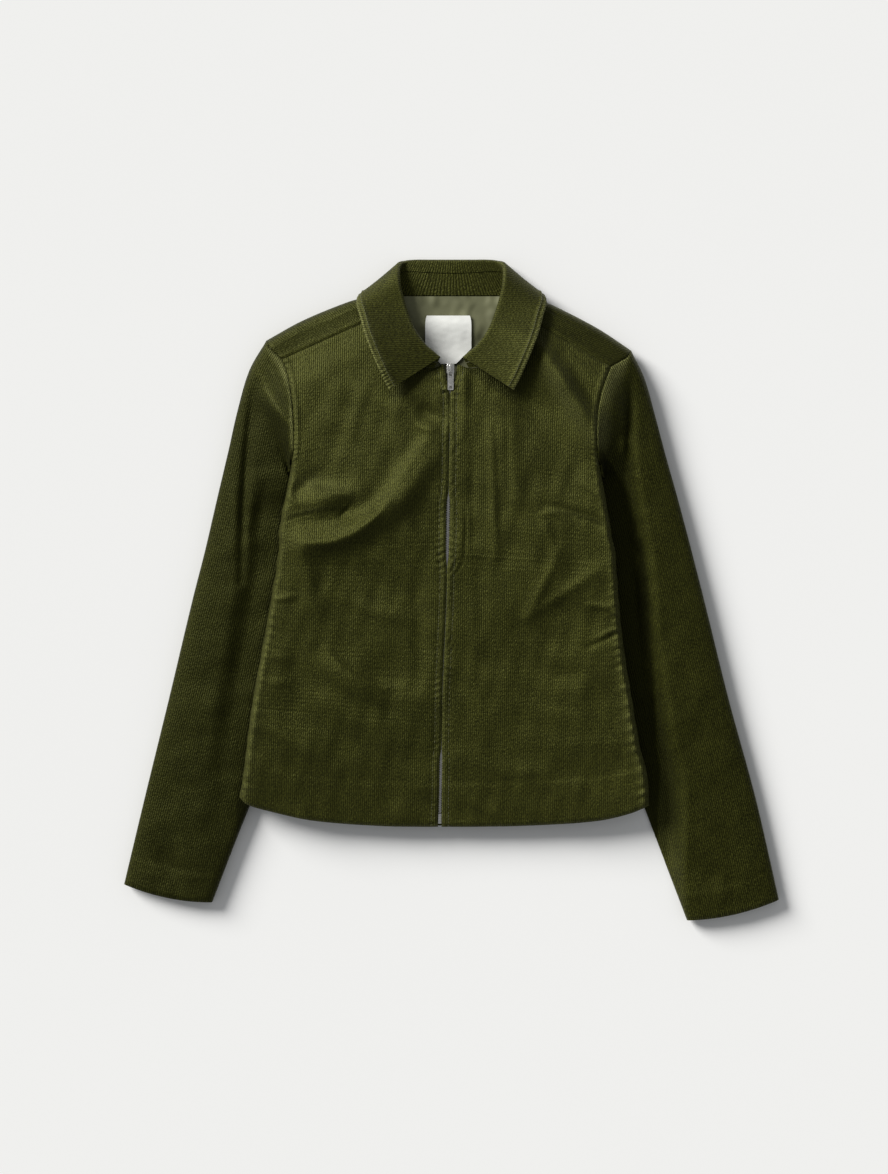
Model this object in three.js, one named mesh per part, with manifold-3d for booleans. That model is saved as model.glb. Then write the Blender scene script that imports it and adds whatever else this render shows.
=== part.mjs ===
// A cropped corduroy jacket with a zip front and a shirt collar, laid flat on its back, in millimetres.
// x runs across the jacket, y up towards the neck and z up from the surface that it lies on.
// "right" and "left" are the wearer's, so the right half is at -x.
import * as THREE from "three";
import Module from "manifold-3d";

const wasm = await Module();
wasm.setup();

// Driving sizes
const WALL = 2; // corduroy
const SEAM_GAP = 0.3; // between two pieces that are sewn together
const NECK_GAP = 1; // at the neck seam, which is a curve on one piece and straight steps on the other
const SHOULDER_LOFT = 20; // thickness of the jacket over its shoulder fold
const SLEEVE_UNDER = 14; // thickness of a sleeve where the body lies on it
const SLEEVE_LIFT = SLEEVE_UNDER + 0.9; // height of the back panel over a sleeve
const LIFT_MARGIN = 9; // from there to a sleeve's inner fold
const LIFT_RAMP = 27; // width over which the back panel comes down beside a sleeve
const EDGE_ROUND = 9; // radius in plan of the rolled side edge
const NECK_LIFT = 3.4; // height of the back neck, which lies on the collar leaf
const LINING_WALL = 1;
const TAPE_WALL = 1;
const TAPE_WIDTH = 13; // from the zip line to its outer edge
const LINING = { halfWidth: 66, from: 205, to: 325 }; // the stretch of the lining that shows
const LABEL = { x: -3.5, y: 276, width: 51, height: 54 };

// Where the parts change from one form to the next
const ARM_RELEASE = 26; // above the underarm, where the rolled side edge has opened into the armhole
const LIFT_TOP = 252; // the back is off the sleeves again from here up
const LIFT_FADE = 60; // and comes down below that over this
const LIFT_SPLAY = 0.35; // above the underarm its lifted stretch runs off sideways by this much of the way up
// Where the back lies on the collar leaf
const LEAF_UNDER = { from: 262, ramp: 36, halfWidth: 132, sideRamp: 26 };
const KNEE_Y = 150; // the front edge's rows are closer together above this
const CENTRE_BACK = 11; // station of the collar at the centre back, see COLLAR
const BACK_NECK = 3.4; // stations from there to the shoulder fold

// Grid counts: rows up a panel, columns across it
const SIDE_ROWS = 20; // hem to underarm
const ARM_ROWS = 10; // underarm to shoulder seam
const NECK_ROWS = 6; // the ones of these that end on the neck seam
const ROUND_COLUMNS = 3; // round a rolled side edge
const FRONT_COLUMNS = 12;
const SHOULDER_COLUMNS = 4;
const NECK_COLUMNS = 6;
const HEM_ROWS = 4; // over which the hem's curve dies away
const RISE_ROWS = 3; // below the underarm, where the back's rows start to bend up to the shoulders
const FOLD_STEPS = 4; // round the shoulder fold
const FORWARD_STEPS = 2; // shoulder fold to shoulder seam
const SLEEVE_ROWS = 22;
const ZIP_STEPS = 24;

// The two halves differ a little, as cloth laid out by hand does.
// edge: the side seam from the hem corner to the underarm, then the armhole seam up to the shoulder seam.
// shoulder: the shoulder fold from the armhole to the neck. seam: the shoulder seam, set forward of it.
// sleeve: sections from the armhole to the cuff, each from its outer fold to the inner one under the body.
const HALVES = {
  right: {
    sign: -1,
    underarm: 131,
    edge: [
      { y: -227, x: -233 },
      { y: -201, x: -229 },
      { y: -120, x: -218 },
      { y: -32, x: -202 },
      { y: 35, x: -191 },
      { y: 75, x: -188 },
      { y: 109, x: -181 },
      { y: 131, x: -177 },
      { y: 152, x: -173.5 },
      { y: 173, x: -172.5 },
      { y: 206, x: -174.5 },
      { y: 238, x: -180 },
      { y: 254, x: -186 },
    ],
    shoulder: [
      { u: 0, x: -204, y: 276 },
      { u: 0.34, x: -164, y: 298 },
      { u: 0.78, x: -112, y: 319 },
      { u: 1, x: -86, y: 325 },
    ],
    seam: [
      { u: 0, x: -186, y: 254 },
      { u: 1, x: -77, y: 303 },
    ],
    sleeve: [
      { at: 0, outerX: -204, outerY: 276, innerX: -177, innerY: 131, loft: 20 },
      { at: 38, outerX: -223, outerY: 243, innerX: -179, innerY: 114, loft: 20 },
      { at: 84, outerX: -236, outerY: 199, innerX: -166, innerY: 99, loft: 20 },
      { at: 130, outerX: -246, outerY: 155, innerX: -149, innerY: 82, loft: 20 },
      { at: 187, outerX: -259, outerY: 100, innerX: -136, innerY: 54, loft: 20 },
      { at: 244, outerX: -272, outerY: 44, innerX: -130, innerY: 8, loft: 20 },
      { at: 300, outerX: -286, outerY: -11, innerX: -142, innerY: -45, loft: 20 },
      { at: 413, outerX: -312, outerY: -120, innerX: -186, innerY: -151, loft: 19 },
      { at: 527, outerX: -339, outerY: -230, innerX: -230, innerY: -256, loft: 17 },
      { at: 623, outerX: -361.5, outerY: -324, innerX: -264, innerY: -344, loft: 15 },
    ],
  },
  left: {
    sign: 1,
    underarm: 124,
    edge: [
      { y: -236, x: 217 },
      { y: -201, x: 215 },
      { y: -171, x: 207 },
      { y: -118, x: 198 },
      { y: -54, x: 188 },
      { y: 12, x: 182 },
      { y: 40, x: 180 },
      { y: 72, x: 174 },
      { y: 97, x: 170 },
      { y: 124, x: 165 },
      { y: 147, x: 160.5 },
      { y: 182, x: 159.5 },
      { y: 215, x: 164 },
      { y: 246, x: 175 },
    ],
    shoulder: [
      { u: 0, x: 198, y: 265 },
      { u: 0.34, x: 160, y: 290 },
      { u: 0.78, x: 111, y: 315 },
      { u: 1, x: 86, y: 325 },
    ],
    seam: [
      { u: 0, x: 175, y: 246 },
      { u: 1, x: 77, y: 303 },
    ],
    sleeve: [
      { at: 0, outerX: 198, outerY: 265, innerX: 165, innerY: 124, loft: 20 },
      { at: 38, outerX: 213, outerY: 234, innerX: 168, innerY: 108, loft: 20 },
      { at: 84, outerX: 225, outerY: 192, innerX: 156, innerY: 95, loft: 20 },
      { at: 130, outerX: 237, outerY: 147, innerX: 139, innerY: 80, loft: 20 },
      { at: 187, outerX: 251, outerY: 97, innerX: 127, innerY: 54, loft: 20 },
      { at: 244, outerX: 265, outerY: 44, innerX: 122, innerY: 8, loft: 20 },
      { at: 300, outerX: 279, outerY: -11, innerX: 137, innerY: -46, loft: 20 },
      { at: 413, outerX: 306, outerY: -120, innerX: 180, innerY: -153, loft: 19 },
      { at: 527, outerX: 336, outerY: -230, innerX: 221, innerY: -260, loft: 17 },
      { at: 640, outerX: 361.5, outerY: -341, innerX: 260, innerY: -364, loft: 15 },
    ],
  },
};

// The hem's front view, hem corner to hem corner
const HEM = [
  { x: -233, y: -227 },
  { x: -224, y: -235 },
  { x: -198, y: -243 },
  { x: -152, y: -253 },
  { x: -79, y: -259 },
  { x: -13, y: -260 },
  { x: 75, y: -259 },
  { x: 159, y: -253.5 },
  { x: 196, y: -245 },
  { x: 217, y: -236 },
];

// The zip line, and half the gap between the two front edges, which spread round the slider and the box
const ZIP = [
  { y: -260, x: -13, half: 3 },
  { y: -186, x: -11.5, half: 1.6 },
  { y: -98, x: -9.4, half: 1.2 },
  { y: -10, x: -5.5, half: 1.2 },
  { y: 78, x: -3.9, half: 1.4 },
  { y: 166, x: -2.2, half: 1.2 },
  { y: 212, x: -1.6, half: 1.2 },
  { y: 232, x: -1.2, half: 4.5 },
  { y: 248, x: -1, half: 8 },
];
const HEM_AT_ZIP = -260;
const NECK_AT_ZIP = 248;

// Height of the front over the surface, at the side edges and in the middle
const LOFT = [
  { y: -260, side: 27, middle: 21 },
  { y: -200, side: 31, middle: 25 },
  { y: -100, side: 33, middle: 29 },
  { y: 0, side: 34, middle: 32 },
  { y: 75, side: 34, middle: 34 },
  { y: 150, side: 33, middle: 34 },
  { y: 220, side: 30, middle: 32 },
  { y: 260, side: 27, middle: 30 },
];
// The line of the shoulders and back neck, towards which the front comes down to the shoulder loft
const TOP_LINE = [
  { x: -204, y: 276 },
  { x: -86, y: 330 },
  { x: 86, y: 330 },
  { x: 198, y: 265 },
];
const TOP_FALL = 75;

// Soft ridges (height above 0) and troughs, each a curve from one point by way of a second to a third
const FRONT_FOLDS = [
  { x1: -18, y1: 177, x2: -62, y2: 60, x3: -161, y3: 60, width: 17, height: 4 }, // zip to right dart
  { x1: -190, y1: 72, x2: -165, y2: 94, x3: -122, y3: 87, width: 9, height: -3 }, // right bust dart
  { x1: -122, y1: 87, x2: -119, y2: 86, x3: -116, y3: 85, width: 15, height: -3 }, // hollow at its point
  { x1: -160, y1: 122, x2: -150, y2: 118, x3: -135, y3: 108, width: 18, height: 2.5 }, // over the right dart
  { x1: -167, y1: 34, x2: -146, y2: -92, x3: -51, y3: -104, width: 15, height: 3 }, // right waist
  { x1: -125, y1: 22, x2: -85, y2: 5, x3: -60, y3: -20, width: 28, height: -2 },
  { x1: -210, y1: -142, x2: -165, y2: -160, x3: -134, y3: -197, width: 20, height: 2 },
  { x1: 97, y1: 259, x2: 130, y2: 220, x3: 158, y3: 177, width: 13, height: 4 }, // collar to left armhole
  { x1: 118, y1: 250, x2: 150, y2: 216, x3: 172, y3: 190, width: 9, height: -2 },
  { x1: 67, y1: 204, x2: 76, y2: 160, x3: 81, y3: 110, width: 15, height: 2.5 },
  { x1: 172, y1: 68, x2: 140, y2: 84, x3: 104, y3: 92, width: 9, height: -3 }, // left bust dart
  { x1: 92, y1: 56, x2: 96, y2: 20, x3: 92, y3: -27, width: 26, height: 3 }, // under the left dart
  { x1: 48, y1: 56, x2: 46, y2: 0, x3: 42, y3: -43, width: 14, height: 1.5 },
  { x1: 136, y1: -90, x2: 140, y2: -110, x3: 136, y3: -130, width: 28, height: 2 },
];
const SLEEVE_FOLDS = [
  { x1: -216, y1: 221, x2: -233, y2: 130, x3: -238, y3: 34, width: 8, height: -4 }, // right sleeve, front
  { x1: -206, y1: 214, x2: -190, y2: 196, x3: -180, y3: 184, width: 8, height: 3 },
  { x1: -330, y1: -290, x2: -318, y2: -300, x3: -300, y3: -318, width: 12, height: -2 },
  { x1: 196, y1: 254, x2: 198, y2: 210, x3: 196, y3: 166, width: 8, height: -4 }, // left sleeve, front
  { x1: 186, y1: 176, x2: 180, y2: 160, x3: 172, y3: 150, width: 8, height: -3 },
  { x1: 262, y1: -300, x2: 280, y2: -312, x3: 300, y3: -320, width: 12, height: -2 },
];

// The collar from its front end round to the centre back.
// turn: the way out of the neck, 0 for up, 90 for sideways and 180 for down. seam: where it meets the neck.
// roll: where it folds over. edge: the leaf's outer edge. lift: of that edge off what it lies on.
const COLLAR = [
  { s: 0, turn: 0, seamX: 19, seamY: 244, rollX: 12, rollY: 256, edgeX: 68, edgeY: 219, lift: 4 },
  { s: 1, turn: 0, seamX: 34, seamY: 246, rollX: 20, rollY: 263, edgeX: 74, edgeY: 230, lift: 4 },
  { s: 2, turn: 0, seamX: 48, seamY: 253, rollX: 28, rollY: 270, edgeX: 79, edgeY: 241, lift: 4 },
  { s: 3, turn: 0, seamX: 63, seamY: 268, rollX: 40, rollY: 287, edgeX: 88, edgeY: 262, lift: 3.5 },
  { s: 4, turn: 0, seamX: 71, seamY: 285, rollX: 48, rollY: 307, edgeX: 96, edgeY: 284, lift: 3 },
  { s: 5, turn: 0, seamX: 76, seamY: 301, rollX: 53, rollY: 324, edgeX: 101, edgeY: 302, lift: 2 },
  { s: 6, turn: 30, seamX: 80, seamY: 312, rollX: 56, rollY: 341, edgeX: 103, edgeY: 314, lift: 1 },
  { s: 7, turn: 90, seamX: 83, seamY: 323, rollX: 56, rollY: 359, edgeX: 100, edgeY: 323, lift: 0.5 },
  { s: 8, turn: 150, seamX: 76, seamY: 324, rollX: 50, rollY: 363, edgeX: 94, edgeY: 318, lift: 0 },
  { s: 9, turn: 180, seamX: 62, seamY: 325.5, rollX: 40, rollY: 364, edgeX: 78, edgeY: 312, lift: 0 },
  { s: 10, turn: 180, seamX: 36, seamY: 326, rollX: 22, rollY: 364, edgeX: 42, edgeY: 307, lift: 0 },
  { s: 11, turn: 180, seamX: 0, seamY: 326, rollX: 0, rollY: 364, edgeX: 0, edgeY: 305, lift: 0 },
];
const SIDEWAYS = new THREE.Vector3(0.68, 0.73, 0); // out of the neck at the shoulder, on the left half
const ROLL_RADIUS = 2.7;
const ROLL_STEPS = 4;
const LEAF_STEPS = 4; // from the roll to the leaf's edge
const STAND_TOP = 15; // from the roll line down to the seam between the leaf and the stand
const COLLAR_STATIONS = 44;

// How a sleeve passes from its armhole seam into flat sections, in mm down the sleeve
const SLEEVE = {
  crowding: 1.15, // rings stand closer together near the armhole
  straighten: 120, // until its points no longer follow the armhole seam
  bowFade: 70, // the armhole's curve dies away over this
  settleShoulder: 75, // until it lies down, at the shoulder
  settleUnderarm: 14,
  evenness: 0.45, // of its points across, 0 being closest together at both folds
  roundness: 0.55, // of its section, 1 being an ellipse
  cuffFrom: 480,
  cuffOver: 140,
  cuffBow: 5,
  coverRamp: 34, // width over which it swells up beside the body
  coverStart: 0.15, // share of that which it has at the body's very edge
};

const UNDERARM_TURN = 0.4; // how far sideways a sleeve faces at the underarm, to 1 towards the hem

// Hardware of the zip
const BEHIND_FRONT = 0.6; // from the inner face of the fronts
const CHAIN = { width: 6, thick: 1.8, from: -244, to: 236.5 };
const SLIDER = { y: 243, width: 8.6, length: 12, thick: 4.4, proud: 0.8, bevel: 0.6, corner: 1.6 };
const CROWN = { width: 2.2, length: 8.4, rise: 2.5, strap: 0.9, foot: 0.4 }; // the arch on the slider
const PULL = { width: 6.6, length: 24, thick: 1.2, bar: 1.2 };
const PULL_WINDOW = { width: 3.4, length: 7.6 };
const PULL_HOLE = { side: 2.6, fromTip: 3.2 };
const HINGE_RISE = 1.2; // of the pull's bar over the slider
const BOX = { y: -251, width: 6.4, length: 11, thick: 2.6, corner: 1 };
const TAPE = { bottom: 6, top: 16 }; // the tapes' ends, from the hem and the neck

const MERGE = 1e4; // corners within a ten-thousandth of a millimetre are one

const clamp01 = (value) => Math.min(1, Math.max(0, value));
const mix = (a, b, t) => a + (b - a) * t;
const smooth = (value) => clamp01(value) ** 2 * (3 - 2 * clamp01(value));

// Reads a table at a value of its key column, with a smooth curve through its rows.
function read(table, key, value) {
  const last = table.length - 1;
  let i = 0;
  while (i < last - 1 && value > table[i + 1][key]) i++;
  const [from, to] = [table[i], table[i + 1]];
  const [before, after] = [table[Math.max(i - 1, 0)], table[Math.min(i + 2, last)]];
  const span = to[key] - from[key];
  const t = clamp01((value - from[key]) / span);
  const found = {};
  for (const name of Object.keys(from)) {
    if (name === key) continue;
    const slope1 = ((to[name] - before[name]) / (to[key] - before[key])) * span;
    const slope2 = ((after[name] - from[name]) / (after[key] - from[key])) * span;
    const bend = t * (1 - t);
    found[name] = mix(from[name], to[name], t * t * (3 - 2 * t)) + bend * ((1 - t) * slope1 - t * slope2);
  }
  return found;
}

// Sum of the soft folds of a table at a point of the plan.
function folded(folds, x, y) {
  const CURVE_STEPS = 14;
  let sum = 0;
  for (const f of folds) {
    let nearest = Infinity;
    let along = 0;
    for (let i = 0; i <= CURVE_STEPS; i++) {
      const t = i / CURVE_STEPS;
      const cx = mix(mix(f.x1, f.x2, t), mix(f.x2, f.x3, t), t);
      const cy = mix(mix(f.y1, f.y2, t), mix(f.y2, f.y3, t), t);
      const d = Math.hypot(x - cx, y - cy);
      if (d < nearest) [nearest, along] = [d, t];
    }
    const taper = 0.45 + 0.55 * Math.sin(Math.PI * along);
    sum += f.height * taper * Math.exp(-((nearest / f.width) ** 2));
  }
  return sum;
}

const edgeX = (half, y) => read(half.edge, "y", y).x;
const halfOf = (x) => (x < 0 ? HALVES.right : HALVES.left);

// Height of the front panels' outer face.
function frontZ(x, y) {
  const half = halfOf(x);
  const across = clamp01(Math.abs(x) / Math.abs(edgeX(half, Math.min(y, half.underarm))));
  const { side, middle } = read(LOFT, "y", y);
  const fall = smooth((read(TOP_LINE, "x", x).y - y) / TOP_FALL);
  return SHOULDER_LOFT + fall * (mix(middle, side, across ** 2) - SHOULDER_LOFT + folded(FRONT_FOLDS, x, y));
}

// Where the back panel has its full height over a sleeve: a little way in from the sleeve's inner fold.
function liftX(half, y) {
  const inner = half.sleeve.map((row) => ({ y: row.innerY, x: row.innerX })).reverse();
  const outwards = LIFT_SPLAY * Math.max(0, y - half.underarm);
  return read(inner, "y", y).x + half.sign * (outwards - LIFT_MARGIN);
}

// Height of the back panel's outer face, which looks down on the surface, the sleeves and the collar leaf.
function backZ(x, y) {
  const half = halfOf(x);
  const overSleeve = smooth(1 + (half.sign * (x - liftX(half, y))) / LIFT_RAMP);
  const leafUp = smooth((y - LEAF_UNDER.from) / LEAF_UNDER.ramp);
  const leafAcross = smooth((LEAF_UNDER.halfWidth - Math.abs(x)) / LEAF_UNDER.sideRamp);
  const belowShoulder = smooth((LIFT_TOP - y) / LIFT_FADE);
  return Math.max(SLEEVE_LIFT * overSleeve * belowShoulder, NECK_LIFT * leafUp * leafAcross);
}

// A surface is a list of points and four-cornered faces. Faces run anticlockwise seen from outside.
class Surface {
  constructor() {
    this.points = [];
    this.faces = [];
    this.leans = new Map(); // number of a point to the normal it has in place of its faces' own
  }
  add(point, lean) {
    this.points.push(point);
    if (lean) this.leans.set(this.points.length - 1, lean);
    return this.points.length - 1;
  }
  // Joins rows of point numbers into faces.
  weave(rows, { flip = false } = {}) {
    for (let r = 0; r + 1 < rows.length; r++) {
      for (let c = 0; c + 1 < rows[r].length; c++) {
        const face = [rows[r][c], rows[r][c + 1], rows[r + 1][c + 1], rows[r + 1][c]];
        this.faces.push(flip ? face.reverse() : face);
      }
    }
  }
  pointNormals() {
    const sums = this.points.map(() => new THREE.Vector3());
    for (const face of this.faces) {
      const [a, b, c, d] = face.map((i) => this.points[i]);
      const cross = c.clone().sub(a).cross(d.clone().sub(b));
      face.forEach((i) => sums[i].add(cross));
    }
    return sums.map((sum, i) => (this.leans.get(i) ?? sum).clone().normalize());
  }
  // The cloth: the surface, the same surface moved in by the wall, and a rim along every free edge.
  cloth(wall) {
    const normals = this.pointNormals();
    const inner = this.points.map((p, i) => p.clone().addScaledVector(normals[i], -wall));
    const count = this.points.length;
    const triangles = [];
    const quad = (a, b, c, d) => triangles.push(a, b, c, a, c, d);
    const open = new Map();
    for (const [a, b, c, d] of this.faces) {
      quad(a, b, c, d);
      quad(count + d, count + c, count + b, count + a);
      for (const [from, to] of [[a, b], [b, c], [c, d], [d, a]]) {
        if (!open.delete(to + "," + from)) open.set(from + "," + to, [from, to]);
      }
    }
    for (const [from, to] of open.values()) quad(to, from, count + from, count + to);
    return geometryOf([...this.points, ...inner], triangles);
  }
}

function geometryOf(points, triangles) {
  const geometry = new THREE.BufferGeometry();
  geometry.setAttribute("position", new THREE.Float32BufferAttribute(points.flatMap((p) => p.toArray()), 3));
  geometry.setIndex(triangles);
  return geometry;
}

// Columns across a panel of this width, in mm from its edge: close together round the rolled edge, then even.
// drop is 1 at the very edge and 0 where the roll ends.
function columnsFrom(width, even) {
  const columns = [];
  for (let i = 0; i <= ROUND_COLUMNS; i++) {
    const angle = ((Math.PI / 2) * i) / ROUND_COLUMNS;
    columns.push({ across: EDGE_ROUND * (1 - Math.cos(angle)), drop: 1 - Math.sin(angle) });
  }
  for (let i = 1; i <= even; i++) columns.push({ across: mix(EDGE_ROUND, width, i / even), drop: 0 });
  return columns;
}

// How far the edge is rolled at this height: fully along the side seam, not at all along the armhole.
const rolled = (half, y) => 1 - smooth((y - half.underarm) / ARM_RELEASE);

// The way the body's outer edge faces: sideways on the rolled side seam, and up or down on the armhole.
function edgeNormal(half, y, up) {
  const roll = rolled(half, y);
  return new THREE.Vector3(half.sign * roll, 0, up * (1 - roll));
}

// Heights of the rows up a side: hem to underarm, then underarm to shoulder seam.
function rowHeights(half) {
  const [bottom, top] = [half.edge[0].y, half.edge.at(-1).y];
  const rows = [];
  for (let r = 0; r <= SIDE_ROWS; r++) rows.push(mix(bottom, half.underarm, r / SIDE_ROWS));
  for (let r = 1; r <= ARM_ROWS; r++) rows.push(mix(half.underarm, top, r / ARM_ROWS));
  return rows;
}

// Height of the side seam, halfway between the front and the back.
function seamZ(half, y) {
  const x = edgeX(half, y) - half.sign * EDGE_ROUND;
  return (frontZ(x, y) + backZ(x, y)) / 2;
}

// Height of the body at a point, on its front (up = 1) or back (up = -1), rolled to the side seam by drop.
function bodyZ(half, x, y, up, rowY, drop) {
  const z = up > 0 ? frontZ(x, y) : backZ(x, y);
  const middle = seamZ(half, rowY) + (up * SEAM_GAP) / 2;
  return mix(z, middle, drop * rolled(half, rowY));
}

// Points of the front edge, one a row: from the hem up the zip and round the neck to the shoulder seam.
function frontEdge(half) {
  const upper = SIDE_ROWS + ARM_ROWS - NECK_ROWS;
  const seams = COLLAR.slice(0, NECK_ROWS);
  const neck = seams.map(({ s, seamX, seamY }) => ({ s: s + 1, x: half.sign * seamX, y: seamY }));
  const top = read(ZIP, "y", NECK_AT_ZIP);
  neck.unshift({ s: 0, x: top.x + half.sign * top.half, y: NECK_AT_ZIP });
  neck[NECK_ROWS] = { s: NECK_ROWS, x: half.seam[1].x, y: half.seam[1].y };
  return [...Array(SIDE_ROWS + ARM_ROWS + 1).keys()].map((r) => {
    if (r > upper) return read(neck, "s", r - upper);
    const low = mix(HEM_AT_ZIP, KNEE_Y, r / SIDE_ROWS);
    const high = mix(KNEE_Y, NECK_AT_ZIP, (r - SIDE_ROWS) / (upper - SIDE_ROWS));
    const y = r <= SIDE_ROWS ? low : high;
    const zip = read(ZIP, "y", y);
    return { x: zip.x + half.sign * zip.half, y };
  });
}

// One front: rows from the side seam and armhole to the zip and neck.
function frontPanel(half) {
  const surface = new Surface();
  const heights = rowHeights(half);
  const inner = frontEdge(half);
  const lastRow = heights.length - 1;
  const rows = heights.map((rowY, r) => {
    const outer = { x: edgeX(half, rowY), y: rowY };
    const end = inner[r];
    const width = Math.hypot(end.x - outer.x, end.y - outer.y);
    const hemPull = 1 - smooth(r / HEM_ROWS);
    return columnsFrom(width, FRONT_COLUMNS).map(({ across, drop }, c) => {
      const u = across / width;
      const x = mix(outer.x, end.x, u);
      const hemCorner = edgeX(half, heights[0]);
      const straight = mix(heights[0], HEM_AT_ZIP, (x - hemCorner) / (inner[0].x - hemCorner));
      let y = mix(outer.y, end.y, u) + hemPull * (read(HEM, "x", x).y - straight);
      if (r === lastRow) y -= SEAM_GAP;
      let lean = null;
      if (r === lastRow || c === ROUND_COLUMNS + FRONT_COLUMNS) lean = new THREE.Vector3(0, 0, 1);
      if (c === 0) lean = edgeNormal(half, rowY, 1);
      return surface.add(new THREE.Vector3(x, y, bodyZ(half, x, y, 1, rowY, drop)), lean);
    });
  });
  surface.weave(rows, { flip: half.sign > 0 });
  return surface;
}

// A point of the shoulder: u runs from armhole to neck, and turn from the back (0) over the fold to 180.
function shoulderPoint(half, u, turn) {
  const fold = read(half.shoulder, "u", u);
  const [a, b] = [half.shoulder[0], half.shoulder.at(-1)];
  const out = new THREE.Vector3(half.sign * (b.y - a.y), Math.abs(b.x - a.x), 0).normalize();
  const baseOf = (radius) => new THREE.Vector3(fold.x, fold.y, 0).addScaledVector(out, -radius);
  const near = baseOf(SHOULDER_LOFT / 2);
  const low = backZ(near.x, near.y);
  const radius = (SHOULDER_LOFT - low) / 2;
  const angle = THREE.MathUtils.degToRad(turn);
  const point = baseOf(radius).addScaledVector(out, radius * Math.sin(angle));
  point.z = low + radius * (1 - Math.cos(angle));
  const normal = out.clone().multiplyScalar(Math.sin(angle)).setZ(-Math.cos(angle));
  return { point, normal };
}

// Columns across one shoulder, armhole to neck, as shares of its length. The first follow the rolled edge's.
function shoulderShares(half) {
  const [a, b] = [half.shoulder[0], half.shoulder.at(-1)];
  const length = Math.hypot(b.x - a.x, b.y - a.y);
  return columnsFrom(length, SHOULDER_COLUMNS).map(({ across }) => across / length);
}

// Where a column between the rolled edges runs: one at the full lift over a sleeve, some down the ramp by it,
// and the rest evenly between the two ramps.
function middleColumn(ends, c, lastColumn) {
  const lifts = ends.map(({ half, x, y }) => {
    const inset = Math.max(EDGE_ROUND + 6, Math.abs(x) - Math.abs(liftX(half, y)));
    return x - half.sign * inset;
  });
  const feet = lifts.map((x, i) => x - ends[i].half.sign * LIFT_RAMP);
  const rampColumns = SHOULDER_COLUMNS - 1;
  const fromEdge = Math.min(c, lastColumn - c) - ROUND_COLUMNS - 1;
  const side = c < lastColumn / 2 ? 0 : 1;
  if (fromEdge <= rampColumns) return mix(lifts[side], feet[side], fromEdge / rampColumns);
  const firstNeck = ROUND_COLUMNS + SHOULDER_COLUMNS;
  return mix(feet[0], feet[1], (c - firstNeck) / (lastColumn - 2 * firstNeck));
}

// The back: one panel that runs over both shoulders to seams on the front.
function backPanel() {
  const surface = new Surface();
  const { right, left } = HALVES;
  const heights = [rowHeights(right), rowHeights(left)];
  const lastRow = heights[0].length - 1;
  const shares = [shoulderShares(right), shoulderShares(left)];
  const top = [];
  for (const u of shares[0]) top.push(shoulderPoint(right, u, 0).point);
  for (let c = 1; c < NECK_COLUMNS; c++) {
    const side = 1 - (2 * c) / NECK_COLUMNS;
    const seam = read(COLLAR, "s", CENTRE_BACK - BACK_NECK * Math.abs(side));
    top.push(new THREE.Vector3(-Math.sign(side) * seam.seamX, seam.seamY - SEAM_GAP, 0));
  }
  for (const u of [...shares[1]].reverse()) top.push(shoulderPoint(left, u, 0).point);
  const lastColumn = top.length - 1;
  const topShare = top.map((p) => (p.x - top[0].x) / (top[lastColumn].x - top[0].x));
  const rows = [];
  for (let r = 0; r < lastRow; r++) {
    const ends = [right, left].map((half, i) => ({ half, y: heights[i][r], x: edgeX(half, heights[i][r]) }));
    const width = ends[1].x - ends[0].x;
    const rise = smooth((r - SIDE_ROWS + RISE_ROWS) / (lastRow - SIDE_ROWS + RISE_ROWS));
    const hemPull = 1 - smooth(r / HEM_ROWS);
    rows.push(
      top.map((t, c) => {
        const side = c <= ROUND_COLUMNS ? 0 : c >= lastColumn - ROUND_COLUMNS ? 1 : -1;
        const steps = side === 1 ? lastColumn - c : c;
        const angle = ((Math.PI / 2) * Math.min(steps, ROUND_COLUMNS)) / ROUND_COLUMNS;
        const inset = EDGE_ROUND * (1 - Math.cos(angle));
        let x = ends[0].x + inset;
        if (side === 1) x = ends[1].x - inset;
        if (side === -1) x = middleColumn(ends, c, lastColumn);
        const half = side === -1 ? halfOf(x) : ends[side].half;
        const u = (x - ends[0].x) / width;
        const lineY = mix(ends[0].y, ends[1].y, u);
        x = mix(x, ends[0].x + width * topShare[c], side === -1 ? rise : 0);
        const lineTop = mix(top[0].y, top[lastColumn].y, u);
        const bottomLine = mix(heights[0][0], heights[1][0], u);
        const y = lineY + rise * (t.y - lineTop) + hemPull * (read(HEM, "x", x).y - bottomLine);
        const rowY = side === -1 ? y : ends[side].y;
        const drop = side === -1 ? 0 : 1 - Math.sin(angle);
        const lean = steps === 0 ? edgeNormal(half, rowY, -1) : null;
        return surface.add(new THREE.Vector3(x, y, bodyZ(half, x, y, -1, rowY, drop)), lean);
      }),
    );
  }
  const onNeck = (c) => Math.min(c, lastColumn - c) >= shares[0].length - 1;
  rows.push(
    top.map((t, c) => {
      const lean = c === 0 || c === lastColumn || onNeck(c) ? new THREE.Vector3(0, 0, -1) : null;
      return surface.add(new THREE.Vector3(t.x, t.y, backZ(t.x, t.y)), lean);
    }),
  );
  surface.weave(rows, { flip: true });
  forwardShoulder(surface, right, shares[0], rows[lastRow].slice(0, shares[0].length));
  forwardShoulder(surface, left, shares[1], [...rows[lastRow]].reverse().slice(0, shares[1].length));
  return surface;
}

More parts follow.
